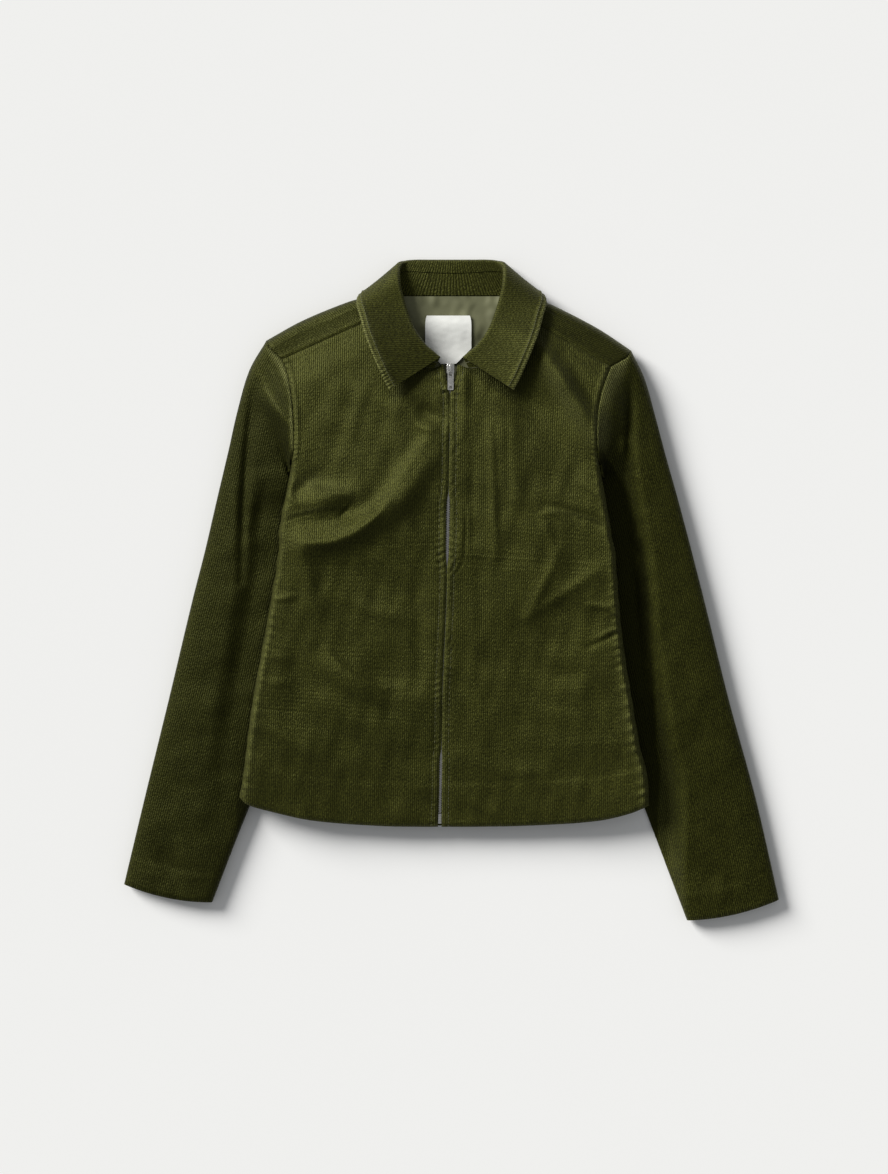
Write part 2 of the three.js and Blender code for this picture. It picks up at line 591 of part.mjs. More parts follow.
// The part of the back that goes over a shoulder, from its last row on the back to the shoulder seam.
function forwardShoulder(surface, half, shares, firstRow) {
  const rows = [firstRow];
  const armhole = (c) => c === 0 || c === shares.length - 1;
  for (let k = 1; k <= FOLD_STEPS; k++) {
    rows.push(
      shares.map((u, c) => {
        const { point, normal } = shoulderPoint(half, u, (180 * k) / FOLD_STEPS);
        return surface.add(point, armhole(c) ? normal : null);
      }),
    );
  }
  for (let k = 1; k <= FORWARD_STEPS; k++) {
    rows.push(
      shares.map((u, c) => {
        const from = shoulderPoint(half, u, 180).point;
        const seam = read(half.seam, "u", u);
        const t = k / FORWARD_STEPS;
        const [x, y] = [mix(from.x, seam.x, t), mix(from.y, seam.y + SEAM_GAP, t)];
        const lean = armhole(c) || k === FORWARD_STEPS ? new THREE.Vector3(0, 0, 1) : null;
        return surface.add(new THREE.Vector3(x, y, frontZ(x, y)), lean);
      }),
    );
  }
  surface.weave(rows, { flip: half.sign < 0 });
}

// The front (up = 1) or back (up = -1) armhole seam from shoulder to underarm, as the panels' edges have it.
function armholeSeam(half, up) {
  const points = [];
  for (let k = 0; k <= FOLD_STEPS / 2; k++) {
    points.push(shoulderPoint(half, 0, 90 + (up * 180 * k) / FOLD_STEPS));
  }
  const tip = points.at(-1).point;
  if (up > 0) {
    for (let k = 1; k < FORWARD_STEPS; k++) {
      const t = k / FORWARD_STEPS;
      const [x, y] = [mix(tip.x, half.seam[0].x, t), mix(tip.y, half.seam[0].y, t)];
      points.push({ point: new THREE.Vector3(x, y, frontZ(x, y)), normal: new THREE.Vector3(0, 0, 1) });
    }
  }
  const heights = rowHeights(half).slice(SIDE_ROWS).reverse();
  heights.slice(up > 0 ? 0 : 1).forEach((y) => {
    const x = edgeX(half, y);
    const point = new THREE.Vector3(x, y, bodyZ(half, x, y, up, y, 1));
    points.push({ point, normal: edgeNormal(half, y, up) });
  });
  points.at(-1).point.z = seamZ(half, half.underarm);
  return points;
}

// Half of a sleeve, front (up = 1) or under (up = -1): it starts as the armhole seam, and flattens into
// sections lying on the surface. The halves meet along the sleeve's two folds.
function sleeveHalf(half, up) {
  const surface = new Surface();
  const seam = armholeSeam(half, up);
  const length = half.sleeve.at(-1).at;
  const rows = [];
  for (let k = 0; k <= SLEEVE_ROWS; k++) {
    rows.push(sleeveRow(surface, half, seam, length * (k / SLEEVE_ROWS) ** SLEEVE.crowding, up));
  }
  surface.weave(rows, { flip: half.sign * up < 0 });
  return surface;
}

// A row of points across half a sleeve, from its outer fold to its inner fold.
function sleeveRow(surface, half, seam, at, up) {
  const row = read(half.sleeve, "at", at);
  const count = seam.length - 1;
  const [first, last] = [seam[0].point, seam[count].point];
  const outwards = new THREE.Vector3(row.outerX - row.innerX, row.outerY - row.innerY, 0);
  const cuffBow = SLEEVE.cuffBow * smooth((at - SLEEVE.cuffFrom) / SLEEVE.cuffOver);
  const points = [];
  for (let i = 0; i <= count; i++) {
    const angle = (Math.PI * i) / count;
    const seamPoint = seam[i].point;
    const seamShare = (seamPoint.y - first.y) / (last.y - first.y);
    const flatShare = mix((1 - Math.cos(angle)) / 2, i / count, SLEEVE.evenness);
    const share = mix(seamShare, flatShare, smooth(at / SLEEVE.straighten));
    const bow = (seamPoint.x - mix(first.x, last.x, seamShare)) * Math.exp(-at / SLEEVE.bowFade);
    const x = mix(row.outerX, row.innerX, share) + bow;
    const y = mix(row.outerY, row.innerY, share) - cuffBow * 4 * share * (1 - share);
    const pastBody = half.sign * (x - edgeX(half, Math.min(y, half.underarm)));
    const uncovered = y < half.underarm ? smooth(pastBody / SLEEVE.coverRamp + SLEEVE.coverStart) : 1;
    const loft = mix(SLEEVE_UNDER, row.loft, uncovered);
    const crease = up > 0 ? folded(SLEEVE_FOLDS, x, y) * Math.sin(angle) : 0;
    const flatZ = (loft / 2) * (1 + up * Math.sin(angle) ** SLEEVE.roundness) + crease;
    const settled = smooth(at / (SLEEVE.settleShoulder * (1 - seamShare) + SLEEVE.settleUnderarm));
    const point = new THREE.Vector3(x, y, mix(seamPoint.z, flatZ, settled));
    let lean = null;
    if (at === 0) {
      point.x += half.sign * underarmClearance(seam[i], seamShare);
      lean = i === count ? new THREE.Vector3(half.sign * UNDERARM_TURN, -1, 0) : seam[i].normal;
    } else if (i === 0 || i === count) {
      lean = outwards.clone().multiplyScalar(i === 0 ? 1 : -1);
    }
    if (i === 0 || i === count) point.z += (up * SEAM_GAP) / 2;
    points.push(surface.add(point, lean));
  }
  return points;
}

// A sleeve's end butts on the panels round the armhole, and passes outside their rolled edges below it.
function underarmClearance(seamPoint, seamShare) {
  return 2 * SEAM_GAP + WALL * Math.abs(seamPoint.normal.x) * smooth(1.2 * seamShare);
}

// One section of the collar: points from the neck seam over the roll to the leaf's edge, on the inner side.
function collarSection(s) {
  const sign = s > CENTRE_BACK ? 1 : -1;
  const row = read(COLLAR, "s", s > CENTRE_BACK ? 2 * CENTRE_BACK - s : s);
  const turn = THREE.MathUtils.degToRad(row.turn);
  const out = SIDEWAYS.clone().multiplyScalar(Math.sin(turn)).setZ(Math.cos(turn)).normalize();
  out.x *= sign;
  const level = (x, y) => mix(NECK_LIFT, frontZ(sign * x, y), (1 + Math.cos(turn)) / 2);
  const at = (x, y) => new THREE.Vector3(sign * x, y, level(x, y));
  const [seam, roll, edge] = [at(row.seamX, row.seamY), at(row.rollX, row.rollY), at(row.edgeX, row.edgeY)];
  edge.addScaledVector(out, row.lift);
  const standWay = seam.clone().sub(roll);
  const leafWay = edge.clone().sub(roll);
  const [standLength, leafLength] = [standWay.length(), leafWay.length()];
  standWay.normalize();
  leafWay.normalize();
  const place = (along, way, level) => roll.clone().addScaledVector(way, along).addScaledVector(out, level);
  const under = -WALL;
  const over = 2 * ROLL_RADIUS - WALL;
  const seamAlong = Math.min(STAND_TOP, standLength / 2);
  const stand = [standLength - NECK_GAP, mix(standLength, seamAlong, 0.5), seamAlong + 3 * SEAM_GAP];
  const leaf = [seamAlong, mix(seamAlong, ROLL_RADIUS, 0.5)].map((a) => place(a, standWay, under));
  for (let k = 0; k <= ROLL_STEPS; k++) {
    const angle = (Math.PI * k) / ROLL_STEPS;
    const way = k <= ROLL_STEPS / 2 ? standWay : leafWay;
    leaf.push(place(ROLL_RADIUS * (1 - Math.sin(angle)), way, ROLL_RADIUS * (1 - Math.cos(angle)) - WALL));
  }
  for (let k = 1; k <= LEAF_STEPS; k++) {
    leaf.push(place(mix(ROLL_RADIUS, leafLength, k / LEAF_STEPS), leafWay, over));
  }
  return { stand: stand.map((along) => place(along, standWay, under)), leaf, out };
}

function collarSurfaces() {
  const [stand, leaf] = [new Surface(), new Surface()];
  const [standRows, leafRows] = [[], []];
  for (let i = 0; i <= COLLAR_STATIONS; i++) {
    const section = collarSection((2 * CENTRE_BACK * i) / COLLAR_STATIONS);
    const inward = section.out.clone().negate();
    standRows.push(section.stand.map((p) => stand.add(p, inward)));
    leafRows.push(section.leaf.map((p, k) => leaf.add(p, k === 0 ? inward : null)));
  }
  stand.weave(standRows, { flip: true });
  leaf.weave(leafRows, { flip: true });
  return { stand, leaf };
}

// A patch that lies on the inside of the back panel, so many mm above its inner face.
function insidePatch({ x1, x2, y1, y2, columns, rows, above, wall }) {
  const surface = new Surface();
  const grid = [];
  for (let r = 0; r <= rows; r++) {
    const y = mix(y1, y2, r / rows);
    grid.push(
      [...Array(columns + 1).keys()].map((c) => {
        const x = mix(x1, x2, c / columns);
        const z = backZ(x, y) + WALL + above + wall;
        return surface.add(new THREE.Vector3(x, y, z), new THREE.Vector3(0, 0, 1));
      }),
    );
  }
  surface.weave(grid);
  return surface;
}

// A strip that hangs under the front edges and follows the zip line, between two distances from it.
function zipStrip(from, to, x1, x2, drop) {
  const surface = new Surface();
  const rows = [];
  for (let r = 0; r <= ZIP_STEPS; r++) {
    const y = mix(from, to, r / ZIP_STEPS);
    const line = read(ZIP, "y", y).x;
    rows.push(
      [x1, x2].map((offset) => {
        const x = line + offset;
        return surface.add(new THREE.Vector3(x, y, frontZ(x, y) - WALL - drop), new THREE.Vector3(0, 0, 1));
      }),
    );
  }
  surface.weave(rows);
  return surface;
}

function roundedRectangle(width, length, radius) {
  const shape = new THREE.Shape();
  const [w, l] = [width / 2 - radius, length / 2 - radius];
  shape.absarc(w, l, radius, 0, Math.PI / 2);
  shape.absarc(-w, l, radius, Math.PI / 2, Math.PI);
  shape.absarc(-w, -l, radius, Math.PI, Math.PI * 1.5);
  shape.absarc(w, -l, radius, Math.PI * 1.5, Math.PI * 2);
  return shape;
}

function solidOf(geometry) {
  const points = geometry.getAttribute("position");
  const found = new Map();
  const [vertProperties, triVerts] = [[], []];
  for (let i = 0; i < points.count; i++) {
    const p = [points.getX(i), points.getY(i), points.getZ(i)].map((v) => Math.round(v * MERGE) / MERGE);
    const key = p.join();
    if (!found.has(key)) {
      found.set(key, found.size);
      vertProperties.push(...p);
    }
    triVerts.push(found.get(key));
  }
  const arrays = { vertProperties: new Float32Array(vertProperties), triVerts: new Uint32Array(triVerts) };
  return new wasm.Manifold(new wasm.Mesh({ numProp: 3, ...arrays }));
}

function geometryOfSolid(solid) {
  const mesh = solid.getMesh();
  const geometry = new THREE.BufferGeometry();
  geometry.setAttribute("position", new THREE.Float32BufferAttribute(mesh.vertProperties, 3));
  geometry.setIndex([...mesh.triVerts]);
  return geometry;
}

// The slider: a bevelled body, a little proud of the front edges, with the crown that holds the pull.
function sliderGeometry() {
  const { width, length, thick, bevel, corner } = SLIDER;
  const body = new THREE.ExtrudeGeometry(roundedRectangle(width - 2 * bevel, length - 2 * bevel, corner), {
    depth: thick - 2 * bevel,
    bevelThickness: bevel,
    bevelSize: bevel,
    bevelSegments: 1,
    curveSegments: 3,
  });
  body.translate(0, 0, bevel - thick);
  return geometryOfSolid(solidOf(body).add(solidOf(crownGeometry())));
}

// The crown: a flat arch along the zip, standing on the slider's two ends.
function crownGeometry() {
  const { width, rise, strap, foot } = CROWN;
  const end = CROWN.length / 2;
  const knee = rise / 2;
  const arch = new THREE.Shape();
  arch.moveTo(-end, -foot);
  arch.lineTo(-end, knee);
  arch.quadraticCurveTo(-end, rise + strap, -end / 2, rise + strap);
  arch.lineTo(end / 2, rise + strap);
  arch.quadraticCurveTo(end, rise + strap, end, knee);
  arch.lineTo(end, -foot);
  arch.lineTo(end - strap, -foot);
  arch.lineTo(end - strap, knee);
  arch.quadraticCurveTo(end - strap, rise, end / 2, rise);
  arch.lineTo(-end / 2, rise);
  arch.quadraticCurveTo(strap - end, rise, strap - end, knee);
  arch.lineTo(strap - end, -foot);
  const crown = new THREE.ExtrudeGeometry(arch, { depth: width, bevelEnabled: false, curveSegments: 4 });
  return crown.translate(0, 0, -width / 2).rotateY(Math.PI / 2).rotateX(Math.PI / 2);
}

// The pull: a plate with a window at the crown, whose end bar is the hinge, and a small hole near its tip.
function pullGeometry() {
  const { width, length, thick, bar } = PULL;
  const plate = roundedRectangle(width, length, bar);
  const opening = (w, l, y) => {
    const corners = [[-w, -l], [-w, l], [w, l], [w, -l]];
    return new THREE.Path(corners.map(([a, b]) => new THREE.Vector2(a / 2, y + b / 2)));
  };
  plate.holes.push(opening(PULL_WINDOW.width, PULL_WINDOW.length, length / 2 - bar - PULL_WINDOW.length / 2));
  plate.holes.push(opening(PULL_HOLE.side, PULL_HOLE.side, PULL_HOLE.fromTip - length / 2));
  const pull = new THREE.ExtrudeGeometry(plate, { depth: thick, bevelEnabled: false, curveSegments: 3 });
  return pull.translate(0, (bar - length) / 2, -thick / 2);
}

const FINISH = {
  corduroy: { color: 0x4a4c1c, roughness: 0.95, metalness: 0 },
  lining: { color: 0x6b6c4c, roughness: 0.6, metalness: 0 },
  label: { color: 0xcfd0ca, roughness: 0.8, metalness: 0 },
  tape: { color: 0x2c2e14, roughness: 0.9, metalness: 0 },
  metal: { color: 0xb8b6b0, roughness: 0.3, metalness: 1 },
};

const jacket = new THREE.Group();

function place(name, geometry, finish, position = [0, 0, 0]) {
  const mesh = new THREE.Mesh(geometry, new THREE.MeshStandardMaterial(FINISH[finish]));
  mesh.name = name;
  mesh.position.set(...position);
  jacket.add(mesh);
}

function placeHalf(side, half) {
  place(`front_${side}`, frontPanel(half).cloth(WALL), "corduroy");
  place(`sleeve_${side}_front`, sleeveHalf(half, 1).cloth(WALL), "corduroy");
  place(`sleeve_${side}_under`, sleeveHalf(half, -1).cloth(WALL), "corduroy");
  const edges = [BOX.width / 2 + SEAM_GAP, TAPE_WIDTH].map((offset) => half.sign * offset);
  const [x1, x2] = edges.sort((a, b) => a - b);
  const tape = zipStrip(HEM_AT_ZIP + TAPE.bottom, NECK_AT_ZIP - TAPE.top, x1, x2, BEHIND_FRONT);
  place(`zip_tape_${side}`, tape.cloth(TAPE_WALL), "tape");
}

function placeNeck() {
  const collar = collarSurfaces();
  place("collar_stand", collar.stand.cloth(WALL), "corduroy");
  place("collar_leaf", collar.leaf.cloth(WALL), "corduroy");
  const lining = insidePatch({
    x1: -LINING.halfWidth,
    x2: LINING.halfWidth,
    y1: LINING.from,
    y2: LINING.to,
    columns: 10,
    rows: 8,
    above: SEAM_GAP,
    wall: LINING_WALL,
  });
  place("back_lining", lining.cloth(LINING_WALL), "lining");
  const label = insidePatch({
    x1: LABEL.x - LABEL.width / 2,
    x2: LABEL.x + LABEL.width / 2,
    y1: LABEL.y - LABEL.height / 2,
    y2: LABEL.y + LABEL.height / 2,
    columns: 5,
    rows: 5,
    above: LINING_WALL + 2 * SEAM_GAP,
    wall: LINING_WALL,
  });
  place("label", label.cloth(LINING_WALL), "label");
}

function placeZip() {
  const chain = zipStrip(CHAIN.from, CHAIN.to, -CHAIN.width / 2, CHAIN.width / 2, BEHIND_FRONT);
  place("zip_chain", chain.cloth(CHAIN.thick), "metal");
  const x = read(ZIP, "y", SLIDER.y).x;
  const z = frontZ(x, SLIDER.y) + SLIDER.proud;
  place("zip_slider", sliderGeometry(), "metal", [x, SLIDER.y, z]);
  place("zip_pull", pullGeometry(), "metal", [x, SLIDER.y, z + HINGE_RISE]);
  const boxX = read(ZIP, "y", BOX.y).x;
  const boxShape = roundedRectangle(BOX.width, BOX.length, BOX.corner);
  const solid = { depth: BOX.thick, bevelEnabled: false, curveSegments: 2 };
  const box = new THREE.ExtrudeGeometry(boxShape, solid);
  place("zip_box", box, "metal", [boxX, BOX.y, frontZ(boxX, BOX.y) - WALL - BEHIND_FRONT - BOX.thick]);
}

placeHalf("right", HALVES.right);
placeHalf("left", HALVES.left);
place("back", backPanel().cloth(WALL), "corduroy");
placeNeck();
placeZip();

export default jacket;
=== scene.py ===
# %% [markdown]
# # A cropped corduroy jacket, laid flat
# The solids of the jacket come in as a fixed frame. Each cut-and-sewn piece is then made again as a thin,
# finely meshed sheet of cloth with the folds, seams and ribs that the solids are too coarse for. x runs
# across the jacket, y up towards the neck and z up from the surface. "right" and "left" are the wearer's,
# so the right half is at -x. The shapes are worked out in millimetres and turned to metres in the meshes.

# %% Load the frame
import math

import bmesh
import bpy
import numpy as np
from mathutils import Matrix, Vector


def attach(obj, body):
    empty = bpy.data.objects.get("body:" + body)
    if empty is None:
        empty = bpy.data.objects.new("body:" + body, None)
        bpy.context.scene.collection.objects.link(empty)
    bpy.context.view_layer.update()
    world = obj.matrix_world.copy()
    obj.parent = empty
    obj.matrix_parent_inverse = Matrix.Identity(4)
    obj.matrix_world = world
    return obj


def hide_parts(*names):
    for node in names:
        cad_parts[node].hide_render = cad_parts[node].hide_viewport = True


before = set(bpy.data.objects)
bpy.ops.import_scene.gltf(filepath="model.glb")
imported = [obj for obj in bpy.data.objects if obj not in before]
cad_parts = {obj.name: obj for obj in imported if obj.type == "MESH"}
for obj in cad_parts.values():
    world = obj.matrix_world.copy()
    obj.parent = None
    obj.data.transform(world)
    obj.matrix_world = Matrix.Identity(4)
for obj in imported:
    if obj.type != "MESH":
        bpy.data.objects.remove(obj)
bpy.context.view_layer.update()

# %% [markdown]
# ## The camera
# The picture was taken from straight above with a long lens. So the camera hangs 3 m over the middle of the
# picture and looks straight down, with the jacket's neck at the top. A long lens keeps the thick parts from
# growing.

# %% Camera
PIXEL = 0.0011  # metres of the jacket in a pixel of the picture
PICTURE = (888, 1174)  # pixels
PICTURE_MIDDLE = (-0.00825, 0.00385)  # the point of the jacket that it shows there
CLOTH_HEIGHT = 0.02  # at which the scale holds
FOCAL, SENSOR = 85.0, 36.0  # mm

camera_data = bpy.data.cameras.new("camera")
camera_data.lens = FOCAL
camera_data.sensor_fit = "VERTICAL"
camera_data.sensor_height = SENSOR
camera = bpy.data.objects.new("camera", camera_data)
camera.location = (*PICTURE_MIDDLE, CLOTH_HEIGHT + PICTURE[1] * PIXEL * FOCAL / SENSOR)
bpy.context.scene.collection.objects.link(camera)
bpy.context.scene.camera = camera
print("camera", round(camera.location.z, 3), "m up")

# %% [markdown]
# ## The light and the floor
# A large soft lamp stands up and to the left. A sun lamp with a wide disc gives the same soft-edged shadows
# all over the jacket, and an even pale sky fills them a little. The floor is a plain pale sheet.

# %% Light
KEY = {"from": (-0.70, 0.54, 0.42), "strength": 5.0, "disc": 28}  # degrees
SKY = {"colour": (0.97, 0.99, 1.0), "strength": 0.29}

key_data = bpy.data.lights.new("soft_key", "SUN")
key_data.energy = KEY["strength"]
key_data.angle = math.radians(KEY["disc"])
key_data.color = (1.0, 0.99, 0.96)
key = bpy.data.objects.new("soft_key", key_data)
key.rotation_euler = Vector(KEY["from"]).to_track_quat("Z", "Y").to_euler()
bpy.context.scene.collection.objects.link(key)
world = bpy.data.worlds.new("pale_sky")
world.use_nodes = True
world.node_tree.nodes["Background"].inputs["Color"].default_value = (*SKY["colour"], 1)
world.node_tree.nodes["Background"].inputs["Strength"].default_value = SKY["strength"]
bpy.context.scene.world = world
bpy.context.scene.view_settings.view_transform = "Standard"
print("key lamp and sky set")

# %% [markdown]
# ## Tables of the jacket's shape
# The same measurements as in the solids: rows read off the garment, joined by smooth curves. Two halves of
# a cloth garment never lie quite alike, so each half has its own rows.

# %% Reading a table
def mix(a, b, t):
    return a + (b - a) * t


def smooth(value):
    value = np.clip(value, 0, 1)
    return value * value * (3 - 2 * value)


def read(rows, at):
    """Values of a table at a key, on a smooth curve through its rows. Each row starts with its key."""
    rows = np.asarray(rows, float)
    key, value = rows[:, 0], rows[:, 1:]
    at = np.asarray(at, float)
    i = np.clip(np.searchsorted(key, at) - 1, 0, len(key) - 2)
    before, after = np.maximum(i - 1, 0), np.minimum(i + 2, len(key) - 1)
    span = key[i + 1] - key[i]
    t = np.clip((at - key[i]) / span, 0, 1)[..., None]
    first = (value[i + 1] - value[before]) * (span / (key[i + 1] - key[before]))[..., None]
    second = (value[after] - value[i]) * (span / (key[after] - key[i]))[..., None]
    found = mix(value[i], value[i + 1], t * t * (3 - 2 * t)) + t * (1 - t) * ((1 - t) * first - t * second)
    return found[..., 0] if value.shape[1] == 1 else np.moveaxis(found, -1, 0)


# %% Halves of the jacket
# edge: y and x of the side seam and the armhole. shoulder: share, x and y of the shoulder fold. seam: the
# shoulder seam. sleeve: distance down it, x and y of its outer fold and of its inner fold, and its thickness.
# valley: the sleeve's thickness beside the body, and how far above the underarm that starts. hollow: y
# and the width of the body's painted shadow on the sleeve there. sleeve_painted_shade: y and how much painted
# shade darkens the sleeve's top. rubbed: curves like those of the folds, with a width and a strength, where a
# painted highlight lightens the sleeve's top, or below 0 painted shade darkens it.
RIGHT = {
    "sign": -1,
    "underarm": 131,
    "edge": [
        (-227, -233), (-201, -229), (-120, -218), (-32, -202), (35, -191), (75, -188), (109, -181),
        (131, -177), (152, -173.5), (173, -172.5), (206, -174.5), (238, -180), (254, -186),
    ],
    "shoulder": [(0, -204, 276), (0.34, -164, 298), (0.78, -112, 319), (1, -86, 325)],
    "seam": [(0, -186, 254), (1, -77, 303)],
    "sleeve": [
        (0, -204, 276, -177, 131, 20), (38, -223, 243, -179, 114, 20), (84, -236, 199, -166, 99, 20),
        (130, -246, 155, -149, 82, 20), (187, -259, 100, -136, 54, 20), (244, -272, 44, -130, 8, 20),
        (300, -286, -11, -142, -45, 20), (413, -312, -120, -186, -151, 19),
        (527, -339, -230, -230, -256, 17), (623, -361.5, -324, -264, -344, 15),
    ],
    "valley": (16, -28),
    # y and the width of the body's painted shadow on the sleeve, then the sleeve's painted shade
    "hollow": [(-260, 3), (-100, 3), (40, 4), (110, 3), (131, 0)],
    "sleeve_painted_shade": [(-400, 0.5), (60, 0.56), (120, 0.68), (200, 0.7), (236, 0.45), (280, 0.2)],
    # painted highlights and painted shade along curves on the sleeve's top
    "rubbed": [
        (-201, 264, -182, 246, -177, 214, 4, 1.5), (-177, 216, -175.5, 190, -175.5, 150, 2.5, 1.5),
        (-206, 224, -194, 205, -180, 186, 3, 1.2), (-217, 250, -208, 234, -198, 216, 4, 0.6),
    ],
}
LEFT = {
    "sign": 1,
    "underarm": 124,
    "edge": [
        (-236, 217), (-201, 215), (-171, 207), (-118, 198), (-54, 188), (12, 182), (40, 180), (72, 174),
        (97, 170), (124, 165), (147, 160.5), (182, 159.5), (215, 164), (246, 175),
    ],
    "shoulder": [(0, 198, 265), (0.34, 160, 290), (0.78, 111, 315), (1, 86, 325)],
    "seam": [(0, 175, 246), (1, 77, 303)],
    "sleeve": [
        (0, 198, 265, 165, 124, 20), (38, 213, 234, 168, 108, 20), (84, 225, 192, 156, 95, 20),
        (130, 237, 147, 139, 80, 20), (187, 251, 97, 127, 54, 20), (244, 265, 44, 122, 8, 20),
        (300, 279, -11, 137, -46, 20), (413, 306, -120, 180, -153, 19), (527, 336, -230, 221, -260, 17),
        (640, 361.5, -341, 260, -364, 15),
    ],
    "valley": (3.5, 16),
    # painted shade on the sleeve's top
    "sleeve_painted_shade": [(-400, 0.08), (280, 0.05)],
    # painted highlights and painted shade along curves on the sleeve's top
    "rubbed": [
        (199, 262, 178, 244, 170, 212, 8, 1.1), (170, 216, 166, 185, 166, 148, 7, 0.8),
        (197, 254, 198, 215, 195, 150, 4, -0.7),
    ],
    # y and the width of the body's painted shadow on the sleeve
    "hollow": [(-240, 11), (-219, 13), (-120, 26), (0, 34), (90, 28), (121, 22), (150, 3), (160, 0)],
}

# %% Hem, zip line, heights
HEM = [
    (-233, -227), (-224, -235), (-198, -243), (-152, -253), (-79, -259), (-13, -260), (75, -259),
    (159, -253.5), (196, -245), (217, -236),
]
ZIP = [  # y, x, half the gap between the two front edges
    (-260, -13, 2), (-225, -12.3, 1.5), (-186, -11.5, 1.5), (-172, -11, 0.2), (-98, -9.4, 0.15),
    (-10, -5.5, 0.15), (26, -4.9, 0.2), (40, -4.6, 1.5), (78, -3.9, 1.9), (98, -3.5, 1.6), (108, -3.2, 0.2),
    (166, -2.2, 0.15), (216, -1.6, 0.2), (232, -1.2, 4.5), (248, -1, 8),
]
HEM_AT_ZIP, NECK_AT_ZIP = -260, 248
LOFT = [  # y, height of the front at the side edges, and in the middle
    (-260, 27, 21), (-200, 31, 25), (-100, 33, 29), (0, 34, 32), (75, 34, 34), (150, 33, 34), (220, 30, 32),
    (260, 27, 30),
]
TOP_LINE = [(-204, 276), (-86, 330), (86, 330), (198, 265)]
TOP_FALL = 75
SHOULDER_LOFT, SLEEVE_LIFT = 20, 14.9
LIFT_MARGIN, LIFT_RAMP, LIFT_TOP, LIFT_FADE, LIFT_SPLAY = 9, 27, 252, 60, 0.35
LEAF_UNDER = {"from": 262, "ramp": 36, "half_width": 132, "side_ramp": 26}
NECK_LIFT, EDGE_ROUND, ARM_RELEASE = 3.4, 6, 26
WALL, SEAM_GAP, SHOULDER_GAP = 2.0, 0.3, 0.08

# %% [markdown]
# ## Folds
# Cloth that lies still is never flat. Each fold is one row: a curve from a point by way of a second to a
# third, a width and a height, above nought for a soft ridge and below for a trough. The largest are those
# of the solids. The finer ones, which only this model has, make the light break up as it does on real
# cotton.

# %% Tables of folds
FRONT_FOLDS = [
    (-16, 168, -57, 63, -161, 50, 16, 6.2),  # from the zip to under the right dart
    (-72, 90, -98, 64, -160, 50, 13, 2.4),  # its steep lower part
    (-104, 106, -135, 99, -168, 94, 13, 4.6),  # above the right dart
    (-120, 88, -118, 85, -114, 83, 10, -3.2),  # the hollow at the dart's point
    (-178, 100, -165, 112, -148, 128, 7, -1.6),
    (-38, 202, -26, 193, -12, 187, 9, -3.2),  # a hollow beside the zip
    (-165, 56, -162, 30, -150, -8, 15, 2.0),
    (-150, -60, -108, -122, -48, -118, 12, 3.0),  # right waist
    (-140, -105, -100, -150, -40, -145, 26, 2.2), (-125, 22, -85, 5, -60, -20, 28, -2),
    (-210, -142, -165, -160, -134, -197, 20, 2),
    (95, 272, 130, 222, 162, 164, 11, 4.6),  # from the collar to the left armhole
    (68, 246, 92, 196, 137, 140, 19, -3.6), (120, 252, 152, 218, 174, 192, 9, -2),
    (56, 206, 60, 160, 66, 104, 15, 2.4),
    (172, 68, 140, 84, 104, 92, 6, -1.8),  # left bust dart
    (118, 44, 106, 10, 84, -28, 11, 1.3), (160, 24, 124, -4, 84, -30, 11, 1.1),
    (90, 56, 84, 20, 78, -27, 26, 2.2), (48, 56, 46, 0, 42, -43, 14, 1.5),
    (136, -90, 140, -110, 136, -130, 28, 2),
]
SLEEVE_FOLDS = [
    (-219, 218, -229, 130, -232, 10, 4.5, -3.4),  # right sleeve
    (-206, 214, -190, 196, -180, 184, 8, 3), (-330, -290, -318, -300, -300, -318, 12, -2),
    (194, 250, 196, 205, 195, 130, 5, -5),  # left sleeve
    (186, 176, 180, 160, 172, 150, 8, -3), (262, -300, 280, -312, 300, -320, 12, -2),
]


def folded(folds, x, y):
    """Height that the folds add at points of the plan."""
    x, y = np.broadcast_arrays(np.asarray(x, float), np.asarray(y, float))
    total = np.zeros(x.shape)
    steps = np.linspace(0, 1, 25)
    for x1, y1, x2, y2, x3, y3, width, height in folds:
        reach = 3 * width
        near = (x > min(x1, x2, x3) - reach) & (x < max(x1, x2, x3) + reach)
        near &= (y > min(y1, y2, y3) - reach) & (y < max(y1, y2, y3) + reach)
        px, py = x[near], y[near]
        cx = mix(mix(x1, x2, steps), mix(x2, x3, steps), steps)
        cy = mix(mix(y1, y2, steps), mix(y2, y3, steps), steps)
        nearest, along = np.full(px.shape, 1e9), np.zeros(px.shape)
        for k in range(len(steps) - 1):
            dx, dy = cx[k + 1] - cx[k], cy[k + 1] - cy[k]
            t = np.clip(((px - cx[k]) * dx + (py - cy[k]) * dy) / (dx * dx + dy * dy), 0, 1)
            d = np.hypot(px - cx[k] - t * dx, py - cy[k] - t * dy)
            along = np.where(d < nearest, (k + t) / (len(steps) - 1), along)
            nearest = np.minimum(d, nearest)
        total[near] += height * (0.45 + 0.55 * np.sin(np.pi * along)) * np.exp(-((nearest / width) ** 2))
    return total


